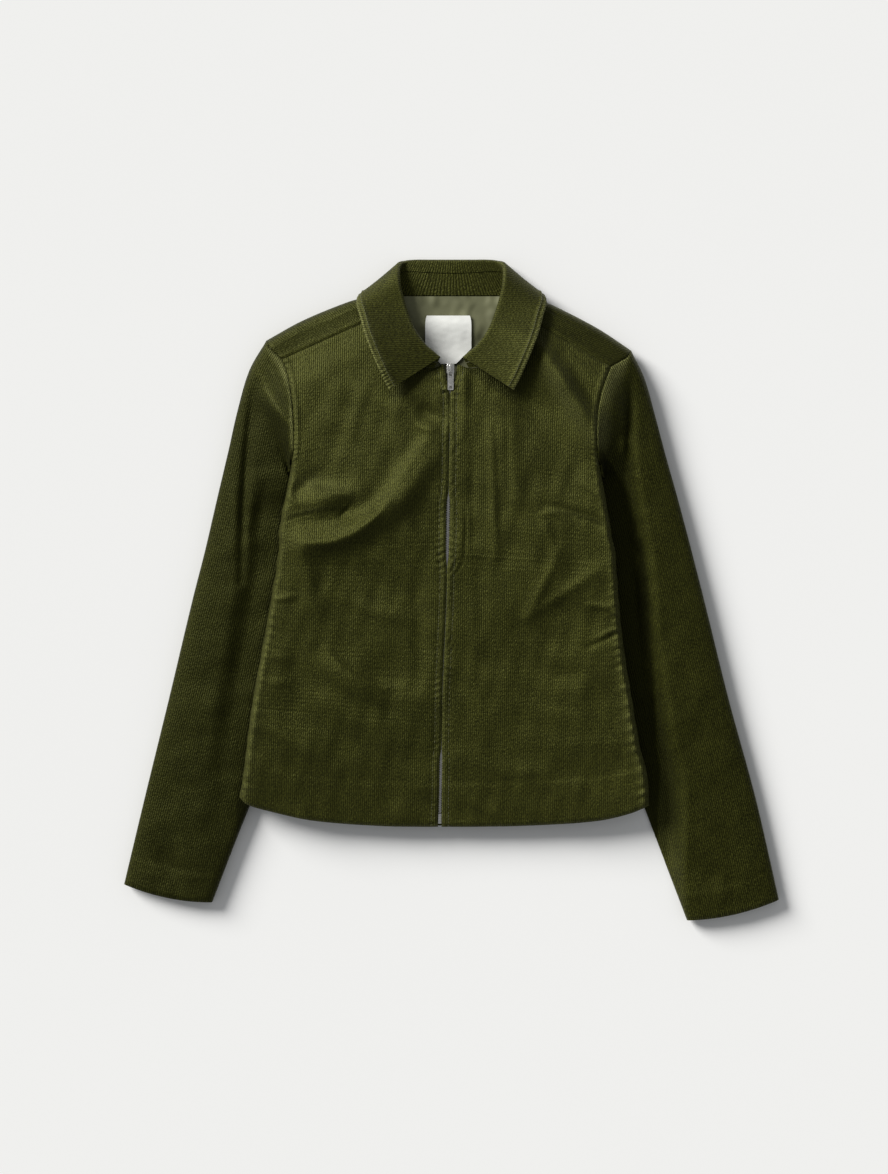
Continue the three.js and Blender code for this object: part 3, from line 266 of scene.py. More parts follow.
# %% Finer folds, on this model alone
FINE_FRONT = [
    (-24, 170, -50, 138, -70, 100, 7, 1.8), (-70, 98, -90, 70, -108, 60, 5.5, 2.0),
    (-104, 62, -130, 48, -158, 52, 5, 2.2), (-184, 107, -176, 101, -169, 95, 3, 1.4),
    (-150, 110, -130, 108, -112, 104, 3.5, 1.2), (-160, 118, -150, 112, -140, 100, 5, 1.0),
    (-162, 40, -158, 0, -142, -40, 9, 0.7), (-136, -64, -104, -112, -54, -106, 5, 1.3),
    (-134, 0, -100, -22, -46, -33, 7, 0.8), (-195, -10, -184, -8, -172, -7, 3.5, 1.2),
    (-200, -70, -190, -74, -178, -76, 5, 0.9), (-205, -100, -192, -104, -178, -100, 5, 0.7),
    (-210, -148, -170, -166, -134, -197, 6, 0.8), (-92, -40, -70, -90, -66, -150, 14, -0.9),
    (-150, -120, -110, -150, -60, -165, 14, 0.8), (-60, 200, -58, 120, -40, 40, 9, 0.9),
    (-40, 30, -32, -40, -40, -110, 8, -0.8), (-95, 220, -110, 190, -108, 150, 9, 1.0),
    (-130, 235, -150, 200, -160, 160, 9, -0.8), (-36, 180, -28, 176, -18, 178, 4, 1.6),
    (94, 268, 122, 224, 160, 164, 9, 1.6), (42, 182, 46, 120, 48, 35, 5, 1.5),
    (60, 190, 62, 140, 62, 90, 5, -0.9), (118, 46, 106, 12, 82, -30, 5, 0.8),
    (160, 22, 120, -6, 82, -30, 5, 0.7), (100, 76, 108, 60, 112, 40, 5, 1.0),
    (98, 84, 110, 88, 124, 82, 3.5, 1.4), (150, -16, 162, -16, 180, -22, 3.5, 1.4),
    (172, 92, 160, 110, 140, 118, 6, 1.2), (158, -55, 170, -49, 180, -40, 3.5, 1.4),
    (150, -62, 164, -54, 184, -46, 3.5, -1.4), (31, -192, 60, -205, 110, -196, 10, 0.7),
    (120, -170, 150, -160, 190, -176, 10, 0.7), (20, 40, 26, -40, 22, -120, 7, 0.9),
    (24, 160, 22, 100, 24, 60, 5, -0.8), (60, -60, 90, -90, 150, -95, 12, -0.8),
    (70, -130, 110, -140, 170, -130, 12, 0.7), (15, 92, 16.5, 66, 14, 38, 1.2, -1.2),
    (14, 38, 12, 26, 5, 20, 1.2, -0.6), (13, 250, 15, 210, 12, 168, 6, 1.8),
    (14, -225, 26, -238, 40, -246, 5, 1.0), (44, -236, 52, -246, 58, -256, 4, 0.9),
]
FINE_BACK = [
    (-120, 180, -60, 120, -40, 20, 16, 2.4), (110, 190, 60, 130, 46, 30, 18, 2.2),
    (-60, 60, -20, 20, 60, 10, 14, -2.0), (-90, -60, -40, -90, 10, -80, 18, 2.0),
    (80, -40, 50, -100, 70, -180, 16, 2.2), (-70, -120, -60, -180, -90, -220, 16, -1.8),
    (0, 200, 10, 150, -10, 100, 12, -1.6), (-30, -140, 10, -170, 40, -220, 12, 1.6),
]
FINE_SLEEVE = [
    (-206, 226, -190, 205, -177, 185, 4, 1.6), (-214, 214, -218, 180, -216, 150, 5, -1.2),
    (-205, 120, -212, 90, -218, 60, 6, -1.0), (-240, 150, -236, 90, -244, 40, 5, 1.4),
    (-236, 60, -210, 20, -170, -10, 12, 1.0), (-262, -20, -240, -60, -214, -90, 12, -1.0),
    (-290, -90, -262, -130, -240, -170, 12, 0.9), (-318, -190, -290, -220, -262, -240, 11, -0.9),
    (-345, -250, -330, -285, -322, -315, 6, 0.9), (-300, -250, -292, -290, -290, -330, 8, 0.6),
    (196, 252, 198, 200, 196, 134, 4.5, -2.0), (206, 240, 212, 190, 206, 140, 6, 1.3),
    (184, 176, 190, 150, 192, 120, 5, -1.2), (240, 90, 226, 40, 196, 10, 12, 1.0),
    (262, -10, 240, -50, 214, -80, 12, -1.0), (290, -90, 262, -130, 236, -160, 12, 0.9),
    (318, -190, 292, -215, 262, -235, 11, -0.9), (345, -250, 330, -290, 318, -330, 7, 0.8),
    (290, -250, 296, -290, 300, -335, 8, 0.6),
]


def uneven(x, y, size, seed, count=14):
    """A gentle random swell of the cloth, between about -1 and 1, with humps of this size."""
    draw = np.random.default_rng(seed)
    total = np.zeros(np.broadcast(x, y).shape)
    for _ in range(count):
        angle, phase = draw.uniform(0, 2 * np.pi, 2)
        wave = 2 * np.pi / (size * draw.uniform(0.7, 1.6))
        total += np.sin(wave * (x * np.cos(angle) + y * np.sin(angle)) + phase)
    return total / count**0.5


def gathers(along, pitch, seed):
    """Small uneven waves along a seam, from -1 to 1."""
    wander = 0.45 * np.sin(along / (3.3 * pitch) + seed) + 0.3 * np.sin(along / (1.7 * pitch) + 2 * seed)
    swell = 0.6 + 0.4 * np.sin(along / (4.1 * pitch) + 3 * seed)
    return swell * np.sin(2 * np.pi * (along / pitch + wander))


# %% Heights of the front and the back
def edge_x(half, y):
    """The side seam and armhole, a little wavy below the underarm."""
    below = smooth((half["underarm"] - 20 - y) / 40) * smooth((y + 240) / 30)
    return read(half["edge"], y) + half["sign"] * 0.8 * below * gathers(y, 27, 3.0 + half["sign"])


def front_height(x, y):
    x, y = np.broadcast_arrays(np.asarray(x, float), np.asarray(y, float))
    right, left = (half["sign"] * edge_x(half, np.minimum(y, half["underarm"])) for half in (RIGHT, LEFT))
    reach = np.where(x < 0, right, left)
    across = np.clip(np.abs(x) / reach, 0, 1)
    side, middle = read(LOFT, y)
    fall = smooth((read(TOP_LINE, x) - y) / TOP_FALL)
    swell = 0.5 * uneven(x, y, 60, 3) + 0.22 * uneven(x, y, 24, 4)
    folds = folded(FRONT_FOLDS, x, y) + folded(FINE_FRONT, x, y) + swell
    return SHOULDER_LOFT + fall * (mix(middle, side, across**2) - SHOULDER_LOFT + folds)


def lift_x(half, y):
    inner = [(row[4], row[3]) for row in reversed(half["sleeve"])]
    outwards = LIFT_SPLAY * np.maximum(0, y - half["underarm"])
    return read(inner, y) + half["sign"] * (outwards - LIFT_MARGIN)


def back_height(x, y):
    x, y = np.broadcast_arrays(np.asarray(x, float), np.asarray(y, float))
    lifts = [smooth(1 + half["sign"] * (x - lift_x(half, y)) / LIFT_RAMP) for half in (RIGHT, LEFT)]
    over_sleeve = np.where(x < 0, *lifts)
    leaf_up = smooth((y - LEAF_UNDER["from"]) / LEAF_UNDER["ramp"])
    leaf_across = smooth((LEAF_UNDER["half_width"] - np.abs(x)) / LEAF_UNDER["side_ramp"])
    below_shoulder = smooth((LIFT_TOP - y) / LIFT_FADE)
    return np.maximum(SLEEVE_LIFT * over_sleeve * below_shoulder, NECK_LIFT * leaf_up * leaf_across)


def rolled(half, y):
    return 1 - smooth((y - half["underarm"]) / ARM_RELEASE)


def seam_height(half, y):
    x = edge_x(half, y) - half["sign"] * EDGE_ROUND
    return (front_height(x, y) + back_height(x, y)) / 2


def body_height(half, x, y, up, row_y, drop):
    z = front_height(x, y) if up > 0 else back_height(x, y)
    return mix(z, seam_height(half, row_y) + up * SEAM_GAP / 2, drop * rolled(half, row_y))


print("front is", np.round(front_height([-100.0, 100.0], [0.0, 0.0]), 1), "mm high at the waist")

# %% [markdown]
# ## A sheet of cloth from rows of points
# Every cloth piece is a grid of points, or a few that meet along an edge. The grids are merged where they
# meet, moved inwards along their normals for the inner face, and closed with a rim along each free edge.
# The texture map holds metres on the cut cloth, across the ribs and along them, so the ribs run as they
# were cut.

# %% Normals and free edges of a grid
def normals_of(points, quads):
    a, b, c, d = (points[quads[:, k]] for k in range(4))
    cross = np.cross(c - a, d - b)
    total = np.zeros_like(points)
    for k in range(4):
        np.add.at(total, quads[:, k], cross)
    return total / np.maximum(np.linalg.norm(total, axis=1, keepdims=True), 1e-12)


def free_edges(quads, count):
    starts, ends = quads.ravel(), np.roll(quads, -1, axis=1).ravel()
    corners = np.arange(quads.size)
    forward, backward = starts * count + ends, ends * count + starts
    free = ~np.isin(forward, backward)
    following = (corners // 4) * 4 + (corners + 1) % 4
    return starts[free], ends[free], corners[free], following[free]


NAP_DEPTH = 1.8  # how much steeper the nap makes a slope look


def deepen(mesh):
    """Leans every normal further over, because nap on a slope stands further over than the cloth under it."""
    corners = np.empty((len(mesh.loops), 3), np.float32)
    mesh.corner_normals.foreach_get("vector", corners.ravel())
    corners[:, :2] *= NAP_DEPTH
    corners /= np.maximum(np.linalg.norm(corners, axis=1, keepdims=True), 1e-9)
    mesh.normals_split_custom_set(corners.tolist())


# %% One piece of cloth
def cloth(name, patches, wall=WALL, body="jacket"):
    """patches: dicts with points (rows, columns, 3) in mm, map (rows, columns, 2) in m, worn
    (rows, columns) from -1, painted shade, to 1, nap lightened by wear and by painted highlights, flip for a
    grid whose faces would look in, and lean, normals that replace the cloth's own where they aren't nan."""
    points, uvs, worn, leans, quads, start = [], [], [], [], [], 0
    for patch in patches:
        rows, columns = patch["points"].shape[:2]
        points.append(patch["points"].reshape(-1, 3))
        uvs.append(patch["map"].reshape(-1, 2))
        worn.append(np.broadcast_to(patch.get("worn", 0.0), (rows, columns)).ravel())
        lean = patch.get("lean")
        leans.append(np.full((rows * columns, 3), np.nan) if lean is None else lean.reshape(-1, 3))
        number = start + np.arange(rows * columns).reshape(rows, columns)
        quad = np.stack([number[:-1, :-1], number[:-1, 1:], number[1:, 1:], number[1:, :-1]], -1)
        quad = quad.reshape(-1, 4)
        quads.append(quad[:, ::-1] if patch.get("flip") else quad)
        start += rows * columns
    points, uvs, worn, leans, quads = (np.concatenate(part) for part in (points, uvs, worn, leans, quads))
    _, first, same = np.unique(np.round(points, 3), axis=0, return_index=True, return_inverse=True)
    same = same.ravel()
    corner_uv = uvs[quads]
    merged = points[first]
    lean = np.full((len(first), 3), np.nan)
    has = ~np.isnan(leans[:, 0])
    lean[same[has]] = leans[has]
    wear_and_painted_light_merged = worn[first]
    quads = same[quads]
    whole = np.array([len(set(q)) for q in quads]) == 4
    quads, corner_uv = quads[whole], corner_uv[whole]
    normals = normals_of(merged, quads)
    leaning = ~np.isnan(lean[:, 0])
    normals[leaning] = lean[leaning] / np.linalg.norm(lean[leaning], axis=1, keepdims=True)
    count = len(merged)
    inner = merged - wall * normals
    inner[:, 2] = np.maximum(inner[:, 2], 0)  # nothing goes through what the jacket lies on
    starts, ends, at, following = free_edges(quads, count)
    rim = np.stack([ends, starts, count + starts, count + ends], -1)
    flat_uv = corner_uv.reshape(-1, 2)
    rim_uv = np.stack([flat_uv[following], flat_uv[at], flat_uv[at], flat_uv[following]], 1)
    faces = np.concatenate([quads, count + quads[:, ::-1], rim])
    face_uv = np.concatenate([corner_uv, corner_uv[:, ::-1], rim_uv])
    mesh = bpy.data.meshes.new(name)
    mesh.vertices.add(2 * count)
    mesh.vertices.foreach_set("co", (np.concatenate([merged, inner]) * 0.001).astype(np.float32).ravel())
    mesh.loops.add(faces.size)
    mesh.loops.foreach_set("vertex_index", faces.astype(np.int32).ravel())
    mesh.polygons.add(len(faces))
    mesh.polygons.foreach_set("loop_start", np.arange(0, faces.size, 4, dtype=np.int32))
    mesh.polygons.foreach_set("use_smooth", np.ones(len(faces), bool))
    mesh.update(calc_edges=True)
    layer = mesh.uv_layers.new(name="grain")
    layer.data.foreach_set("uv", face_uv.astype(np.float32).ravel())
    shade = mesh.attributes.new("worn", "FLOAT", "POINT")
    shade.data.foreach_set("value", np.tile(wear_and_painted_light_merged, 2).astype(np.float32))
    mesh.validate()
    mesh.set_sharp_from_angle(angle=math.radians(50))
    deepen(mesh)
    piece = bpy.data.objects.new(name, mesh)
    bpy.context.scene.collection.objects.link(piece)
    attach(piece, body)
    a, b, c, d = (merged[quads[:, k]] for k in range(4))
    area = 0.5e-6 * np.linalg.norm(np.cross(c - a, d - b), axis=1).sum()
    print(name, len(faces), "faces,", round(float(area), 4), "m2")
    return piece

# %% [markdown]
# ## The two fronts
# A front is one cut piece: from the hem up to the shoulder seam, and from the side seam and the armhole to
# the zip and the neck. Its rows fan out from the zip to the side. Along the side seam the cloth rolls
# under. The zip edge is turned in and stitched 8 mm from the fold, which leaves a shallow groove with small
# gathers, and the dart is a sewn line that ends in a hollow.

# %% Plan of a front
SIDE_ROWS, ARM_ROWS, NECK_ROWS = 20, 10, 6  # the solids' rows, which number the places on a panel
ALL_ROWS = SIDE_ROWS + ARM_ROWS
KNEE_Y, HEM_ROWS, ROUND_COLUMNS, FRONT_COLUMNS = 150, 4, 3, 12
COLLAR = [  # station, turn, seam x y, roll x y, edge x y, lift
    (0, 0, 19, 244, 12, 256, 68, 219, 4), (1, 0, 34, 246, 20, 263, 74, 230, 4),
    (2, 0, 48, 253, 28, 270, 79, 241, 4), (3, 0, 63, 268, 40, 287, 88, 262, 3.5),
    (4, 0, 71, 285, 48, 307, 96, 284, 3), (5, 0, 76, 301, 53, 324, 101, 302, 2),
    (6, 30, 80, 312, 56, 341, 103, 314, 1), (7, 90, 83, 323, 56, 359, 100, 323, 0.5),
    (8, 150, 76, 324, 50, 364.5, 94, 318, 0), (9, 180, 62, 325.5, 40, 366, 78, 312, 0),
    (10, 180, 36, 326, 22, 366, 42, 307, 0), (11, 180, 0, 326, 0, 366, 0, 305, 0),
]
CENTRE_BACK, BACK_NECK = 11, 3.4


def row_height(half, r):
    bottom, top = half["edge"][0][0], half["edge"][-1][0]
    low = mix(bottom, half["underarm"], r / SIDE_ROWS)
    return np.where(r <= SIDE_ROWS, low, mix(half["underarm"], top, (r - SIDE_ROWS) / ARM_ROWS))


def columns_from(width, even, c):
    """Distance in from the edge, and how far the cloth is rolled down there, at column c."""
    angle = np.pi / 2 * np.minimum(c, ROUND_COLUMNS) / ROUND_COLUMNS
    flat = mix(EDGE_ROUND, width, (c - ROUND_COLUMNS) / even)
    return np.where(c <= ROUND_COLUMNS, EDGE_ROUND * (1 - np.cos(angle)), flat), 1 - np.sin(angle)


def front_edge(half, r):
    upper = ALL_ROWS - NECK_ROWS
    sign, top = half["sign"], read(ZIP, NECK_AT_ZIP)
    neck = [(0, top[0] + sign * top[1], NECK_AT_ZIP)]
    neck += [(row[0] + 1, sign * row[2], row[3]) for row in COLLAR[: NECK_ROWS - 1]]
    neck.append((NECK_ROWS, *half["seam"][1][1:]))
    low = mix(HEM_AT_ZIP, KNEE_Y, r / SIDE_ROWS)
    high = mix(KNEE_Y, NECK_AT_ZIP, (r - SIDE_ROWS) / (upper - SIDE_ROWS))
    y = np.where(r <= SIDE_ROWS, low, high)
    x, gap = read(ZIP, y)
    round_neck = read(neck, r - upper)
    past = r > upper
    return np.where(past, round_neck[0], x + sign * gap), np.where(past, round_neck[1], y)


print("the right front's neck ends at", [round(float(v), 1) for v in front_edge(RIGHT, np.array(30.0))])

# %% [markdown]
# ## Seams, stitches, worn nap and painted light
# A seam shows as a narrow dip with a soft swell beside it, and its stitches gather the cloth a little. Wear
# crushes the nap lighter on whatever stands out, and a painted highlight lies there as well, while painted
# shadow darkens the fronts beside the collar leaves. So each edge of a front gives two things: the height that
# it adds, and a value named worn, which the material reads. Both fall off with the distance from the
# edge, by the same two curves everywhere.

# %% Two curves and a line
DARTS = {-1: (-187, 74, -165, 86, -117, 88.5), 1: (173, 67, 150, 79, 96, 88)}
STITCH_INSET = 7.5  # from the zip edge
HEM_DEPTH = 47  # the turned-up hem, whose edge shows a little
SIDE_GATHERS = [
    (-260, 0.25), (-215, 0.8), (-150, 1.0), (-90, 0.95), (-50, 0.8), (0, 0.35), (60, 0.2), (130, 0.4),
]
# Lines below and beside the collar leaves' free edges, along which their painted shadow lies on the fronts.
LEAF_SHADE = {
    "right": [(-8, 251), (-63, 214)],
    "left": [(14, 250), (69, 213), (79, 227), (85, 240), (94, 261), (101, 283), (106, 302)],
}
# Painted highlights: curves like the folds', with a width and a strength, lightening the chest where light
# falls.
FRONT_PAINTED_HIGHLIGHTS = [(90, 262, 120, 220, 152, 166, 9, 0.65), (-166, 116, -140, 122, -112, 108, 9, 0.4)]


def crest(distance, at, width):
    """1 at this distance from a seam, falling off evenly to both sides of it."""
    return np.exp(-(((distance - at) / width) ** 2))


def brink(distance, width):
    """1 at an edge, falling off inwards."""
    return np.exp(-np.maximum(distance, 0) / width)


def on_line(line, x, y, width):
    """1 on a curved line, falling to 0 within about its width."""
    return folded([(*line, width, 1.0)], x, y)


def painted_leaf_shadow(x, y):
    """Painted shadow of the collar leaves: 1 close beside their free edges, 0 away from them."""
    nearest = np.full(np.broadcast(x, y).shape, 1e9)
    for line in LEAF_SHADE.values():
        for (ax, ay), (bx, by) in zip(line[:-1], line[1:]):
            dx, dy = bx - ax, by - ay
            t = np.clip(((x - ax) * dx + (y - ay) * dy) / (dx**2 + dy**2), 0, 1)
            nearest = np.minimum(nearest, np.hypot(x - ax - t * dx, y - ay - t * dy))
    return np.exp(-((nearest / 7.0) ** 4))


print("stitching", STITCH_INSET, "mm from the zip edge, hem", HEM_DEPTH, "mm deep")


# %% Edges of a front: height and worn nap
def zip_edge(half, x, y):
    """Turned in at the zip, stitched, and gathered by the stitches."""
    sign = half["sign"]
    line, gap = read(ZIP, np.minimum(y, NECK_AT_ZIP))
    from_zip = np.abs(x - line) - gap
    below_neck = 1 - smooth((y - NECK_AT_ZIP + 8) / 8)
    tight = 0.75 + 0.4 * gathers(y, 11, 6.0 + sign)
    groove = -0.45 * tight * crest(from_zip, STITCH_INSET, 1.2) + 0.3 * crest(from_zip, 3.4, 2.0)
    slanted = y + 0.5 * from_zip
    pucker = gathers(slanted, 6.5, 1.0 + sign)
    pull = (0.8 * pucker + 0.5 * gathers(slanted, 3.9, 4.0)) * crest(from_zip, 6, 5.0)
    z = below_neck * (groove + pull - 0.6 * brink(from_zip, 0.6))
    # The second value: lighter towards the upper chest as a painted highlight, and lighter at the fold and on
    # the puckers' crests, where wear crushes the nap and a painted highlight lies too.
    worn = 0.1 * smooth((y - 20) / 120) + below_neck * 0.7 * brink(from_zip, 1.2)
    return z, worn + below_neck * (0.15 + 0.8 * np.maximum(pucker, 0)) * crest(from_zip, 5.0, 3.0)


def hem_and_dart(half, x, y):
    """The folded hem, with the step of its inner edge, and the dart's seam with a swell above it."""
    above_hem = y - read(HEM, x)
    z = -1.5 * brink(above_hem, 1.2) + 0.45 * (1 - smooth((above_hem - HEM_DEPTH + 2) / 4))
    dart = on_line(DARTS[half["sign"]], x, y, 1.0)
    beside_dart = on_line(DARTS[half["sign"]], x, y - 3.4, 2.4)
    z = z - 0.8 * dart + 0.4 * beside_dart * (1 + 0.5 * gathers(x, 7, 2.0))
    # The hem's fold is lighter, worn nap with a painted highlight on it, and the swell above the dart gets a
    # painted highlight.
    return z, 0.3 * brink(above_hem, 2.0) + 0.4 * beside_dart


def side_and_armhole(half, y, to_side, to_armhole):
    """The side seam's gathers and the lip where it rolls under, and the armhole's seam with its swell."""
    sign, firm = half["sign"], read(SIDE_GATHERS, y)
    below_arm = 1 - smooth((y - half["underarm"] + 20) / 30)
    side = crest(np.maximum(to_side, 0), 0, 13) * below_arm
    lip = crest(to_side, 6.5, 3.2) * below_arm
    slanted = y + 0.35 * to_side
    wave = 0.6 * gathers(slanted, 8.5, 4.0 + sign) + 0.55 * gathers(slanted, 14.5, 9.0 + sign)
    strength = firm * (1.0 if sign > 0 else 0.8)
    lip_height = 1.1 * lip * firm**0.5 * (0.75 + 0.5 * wave)
    z = 0.8 * strength * side * wave + lip_height * (1.0 if sign > 0 else 0.5)
    # The lip and the crests of the gathers are lighter, where wear crushes the nap and a painted highlight
    # lies on their lit sides; so is the armhole seam's swell.
    worn = 0.35 * lip * (0.6 + 0.6 * wave) + side * (0.35 + 0.5 * np.maximum(wave, 0)) * strength
    z = z - 0.9 * brink(to_armhole, 1.3) + 0.6 * crest(to_armhole, 4.0, 2.4)
    z = z + 0.5 * gathers(y, 5.5, 7.0) * crest(to_armhole, 3.0, 4.0)
    return z, worn + 0.4 * crest(to_armhole, 3.2, 2.2)


def front_detail(half, x, y, to_side, to_armhole):
    """Height that seams, stitches and gathers add to a front, and its wear and painted light: lighter for wear
    and painted highlights, darker in the collar leaves' painted shadow.
    """
    parts = (zip_edge(half, x, y), hem_and_dart(half, x, y), side_and_armhole(half, y, to_side, to_armhole))
    z, worn = (sum(values) for values in zip(*parts))
    worn = worn + folded(FRONT_PAINTED_HIGHLIGHTS, x, y)
    return z, np.clip(worn, 0, 1) - painted_leaf_shadow(x, y)


print("edges of the fronts defined")


# %% Making a front
def front_piece(name, half):
    rows = np.concatenate([np.linspace(0, 20, 161), np.linspace(20, ALL_ROWS, 76)[1:]])[:, None]
    columns = np.concatenate([np.linspace(0, 3, 9), np.linspace(3, 3 + FRONT_COLUMNS, 96)[1:]])[None, :]
    sign, row_y = half["sign"], row_height(half, rows)
    outer_x = edge_x(half, row_y)
    end_x, end_y = front_edge(half, rows)
    width = np.hypot(end_x - outer_x, end_y - row_y)
    across, drop = columns_from(width, FRONT_COLUMNS, columns)
    u = across / width
    x = mix(outer_x, end_x, u)
    hem_corner = float(edge_x(half, row_height(half, np.array(0.0))))
    hem_end = float(front_edge(half, np.array(0.0))[0])
    straight = mix(half["edge"][0][0], HEM_AT_ZIP, (x - hem_corner) / (hem_end - hem_corner))
    y = mix(row_y, end_y, u) + (1 - smooth(rows / HEM_ROWS)) * (read(HEM, x) - straight)
    y = y - SHOULDER_GAP * smooth(rows - ALL_ROWS + 1)
    z = body_height(half, x, y, 1, np.broadcast_to(row_y, x.shape), np.broadcast_to(drop, x.shape))
    seam = half["seam"]
    along = (x - seam[0][1]) / (seam[1][1] - seam[0][1])
    to_shoulder = mix(seam[0][2], seam[1][2], along) - y
    past = rows > SIDE_ROWS
    to_armhole = np.where(past, np.abs(x - outer_x), 99) + 40 * (1 - smooth((row_y - half["underarm"]) / 14))
    to_side = np.where(past, 99, np.abs(x - outer_x))
    dz, worn = front_detail(half, x, y, np.abs(x - outer_x), to_armhole)
    dz += np.where((along > -0.1) & (along < 1.1), -0.3 * brink(to_shoulder, 1.5), 0)
    dz += np.where((along > 0) & (along < 1), 0.3 * crest(to_shoulder, 4, 2.2), 0)
    z = z + dz * np.where(to_side < 9, mix(1, 0.35, drop), 1)
    points = np.stack([x, y, z], -1)
    step = np.hypot(np.diff(points[..., 0], axis=1), np.diff(points[..., 2], axis=1))
    arc = np.concatenate([np.cumsum(step[:, ::-1], axis=1)[:, ::-1], np.zeros((len(rows), 1))], axis=1)
    grain = np.stack([end_x + sign * arc, y], -1) * 0.001
    lean = np.full(points.shape, np.nan)
    roll = rolled(half, row_y)[:, 0]
    lean[:, 0] = np.stack([sign * roll, 0 * roll, 1 - roll], -1) + [0, 0, 1e-6]
    lean[-1] = lean[:, -1] = [0, 0, 1]
    return cloth(name, [{"points": points, "map": grain, "worn": worn, "flip": sign > 0, "lean": lean}])


front_right = front_piece("corduroy_front_right", RIGHT)
front_left = front_piece("corduroy_front_left", LEFT)

# %% [markdown]
# ## The back
# The back is one piece as well. It lies under everything, is lifted where the sleeves lie beneath it, and
# runs over both shoulders to seams on the front. Past the shoulder fold its ribs come out slanting, as a
# mirror would turn them, because the cloth is the same straight-cut piece.

# %% Plan of the back
SHOULDER_COLUMNS, NECK_COLUMNS, RISE_ROWS = 4, 6, 3
SHOULDER_LENGTH = 128  # mm, from the armhole to the neck
SHOULDER_SHADE = 0.45  # painted shade: how much darker the shoulders are coloured
LAST_COLUMN = 2 * (ROUND_COLUMNS + SHOULDER_COLUMNS) + NECK_COLUMNS


def shoulder_out(half):
    (_, ax, ay), (_, bx, by) = half["shoulder"][0], half["shoulder"][-1]
    out = np.array([half["sign"] * (by - ay), abs(bx - ax)])
    return out / np.linalg.norm(out)


def shoulder_point(half, u, turn):
    """A point of the shoulder fold: u from the armhole to the neck, turn from the back, 0, to 180 in front."""
    fx, fy = read(half["shoulder"], u)
    out = shoulder_out(half)
    low = back_height(fx - out[0] * SHOULDER_LOFT / 2, fy - out[1] * SHOULDER_LOFT / 2)
    radius = (SHOULDER_LOFT - low) / 2
    angle = np.radians(turn)
    reach = radius * (np.sin(angle) - 1)
    up = low + radius * (1 - np.cos(angle))
    return np.stack(np.broadcast_arrays(fx + out[0] * reach, fy + out[1] * reach, up), -1)


def shoulder_share(half, c):
    (_, ax, ay), (_, bx, by) = half["shoulder"][0], half["shoulder"][-1]
    length = math.hypot(bx - ax, by - ay)
    return columns_from(length, SHOULDER_COLUMNS, c)[0] / length


def back_top(c):
    """The back's last row, across both shoulders and the neck, at columns c."""
    first = ROUND_COLUMNS + SHOULDER_COLUMNS
    right = shoulder_point(RIGHT, shoulder_share(RIGHT, np.minimum(c, first)), 0)
    left = shoulder_point(LEFT, shoulder_share(LEFT, np.minimum(LAST_COLUMN - c, first)), 0)
    side = 1 - 2 * (c - first) / NECK_COLUMNS
    inner = np.clip(side, -2 / 3, 2 / 3)
    found = read(COLLAR, CENTRE_BACK - BACK_NECK * np.abs(inner))
    neck = np.stack([-np.sign(inner) * found[1], found[2] - SEAM_GAP, np.zeros_like(c)], -1)
    to_shoulder = np.clip((np.abs(side) - 2 / 3) * 3, 0, 1)[:, None]
    neck = mix(neck, np.where((side > 0)[:, None], right, left), to_shoulder)
    return np.where((c <= first)[:, None], right, np.where((c >= LAST_COLUMN - first)[:, None], left, neck))


def middle_column(end_x, end_y, c):
    """Where a column between the rolled edges runs: at the lift over a sleeve, down its ramp, then evenly."""
    lifts = []
    for half, x, y in zip((RIGHT, LEFT), end_x, end_y):
        inset = np.maximum(EDGE_ROUND + 6, np.abs(x) - np.abs(lift_x(half, y)))
        lifts.append(x - half["sign"] * inset)
    feet = [lifts[0] + LIFT_RAMP, lifts[1] - LIFT_RAMP]
    ramp, first = SHOULDER_COLUMNS - 1, ROUND_COLUMNS + SHOULDER_COLUMNS
    t_right, t_left = (c - ROUND_COLUMNS - 1) / ramp, (LAST_COLUMN - c - ROUND_COLUMNS - 1) / ramp
    middle = mix(feet[0], feet[1], (c - first) / (LAST_COLUMN - 2 * first))
    middle = np.where(t_left <= 1, mix(lifts[1], feet[1], t_left), middle)
    return np.where(t_right <= 1, mix(lifts[0], feet[0], t_right), middle)


def back_plan(r, c):
    """Plan of the back below its last row: x, y, the height of the row at the edge, roll and side."""
    top = back_top(c[0])
    ys = [row_height(RIGHT, r), row_height(LEFT, r)]
    xs = [edge_x(RIGHT, ys[0]), edge_x(LEFT, ys[1])]
    width = xs[1] - xs[0]
    rise = smooth((r - SIDE_ROWS + RISE_ROWS) / (ALL_ROWS - SIDE_ROWS + RISE_ROWS))
    right, left = c <= ROUND_COLUMNS, c >= LAST_COLUMN - ROUND_COLUMNS
    steps = np.where(left, LAST_COLUMN - c, c)
    angle = np.pi / 2 * np.minimum(steps, ROUND_COLUMNS) / ROUND_COLUMNS
    inset = EDGE_ROUND * (1 - np.cos(angle))
    middle = ~(right | left)
    x = np.where(right, xs[0] + inset, np.where(left, xs[1] - inset, middle_column(xs, ys, c)))
    u = (x - xs[0]) / width
    line_y = mix(ys[0], ys[1], u)
    share = (top[:, 0] - top[0, 0]) / (top[-1, 0] - top[0, 0])
    x = mix(x, xs[0] + width * share, np.where(middle, rise, 0))
    line_top = mix(top[0, 1], top[-1, 1], u)
    bottom = mix(RIGHT["edge"][0][0], LEFT["edge"][0][0], u)
    y = line_y + rise * (top[:, 1] - line_top) + (1 - smooth(r / HEM_ROWS)) * (read(HEM, x) - bottom)
    row_y = np.where(right, ys[0], np.where(left, ys[1], y))
    drop = np.where(middle, 0, 1 - np.sin(angle))
    return x, y, row_y, np.broadcast_to(drop, x.shape), np.broadcast_to(steps, x.shape)


print("the back's last row has", LAST_COLUMN, "steps")


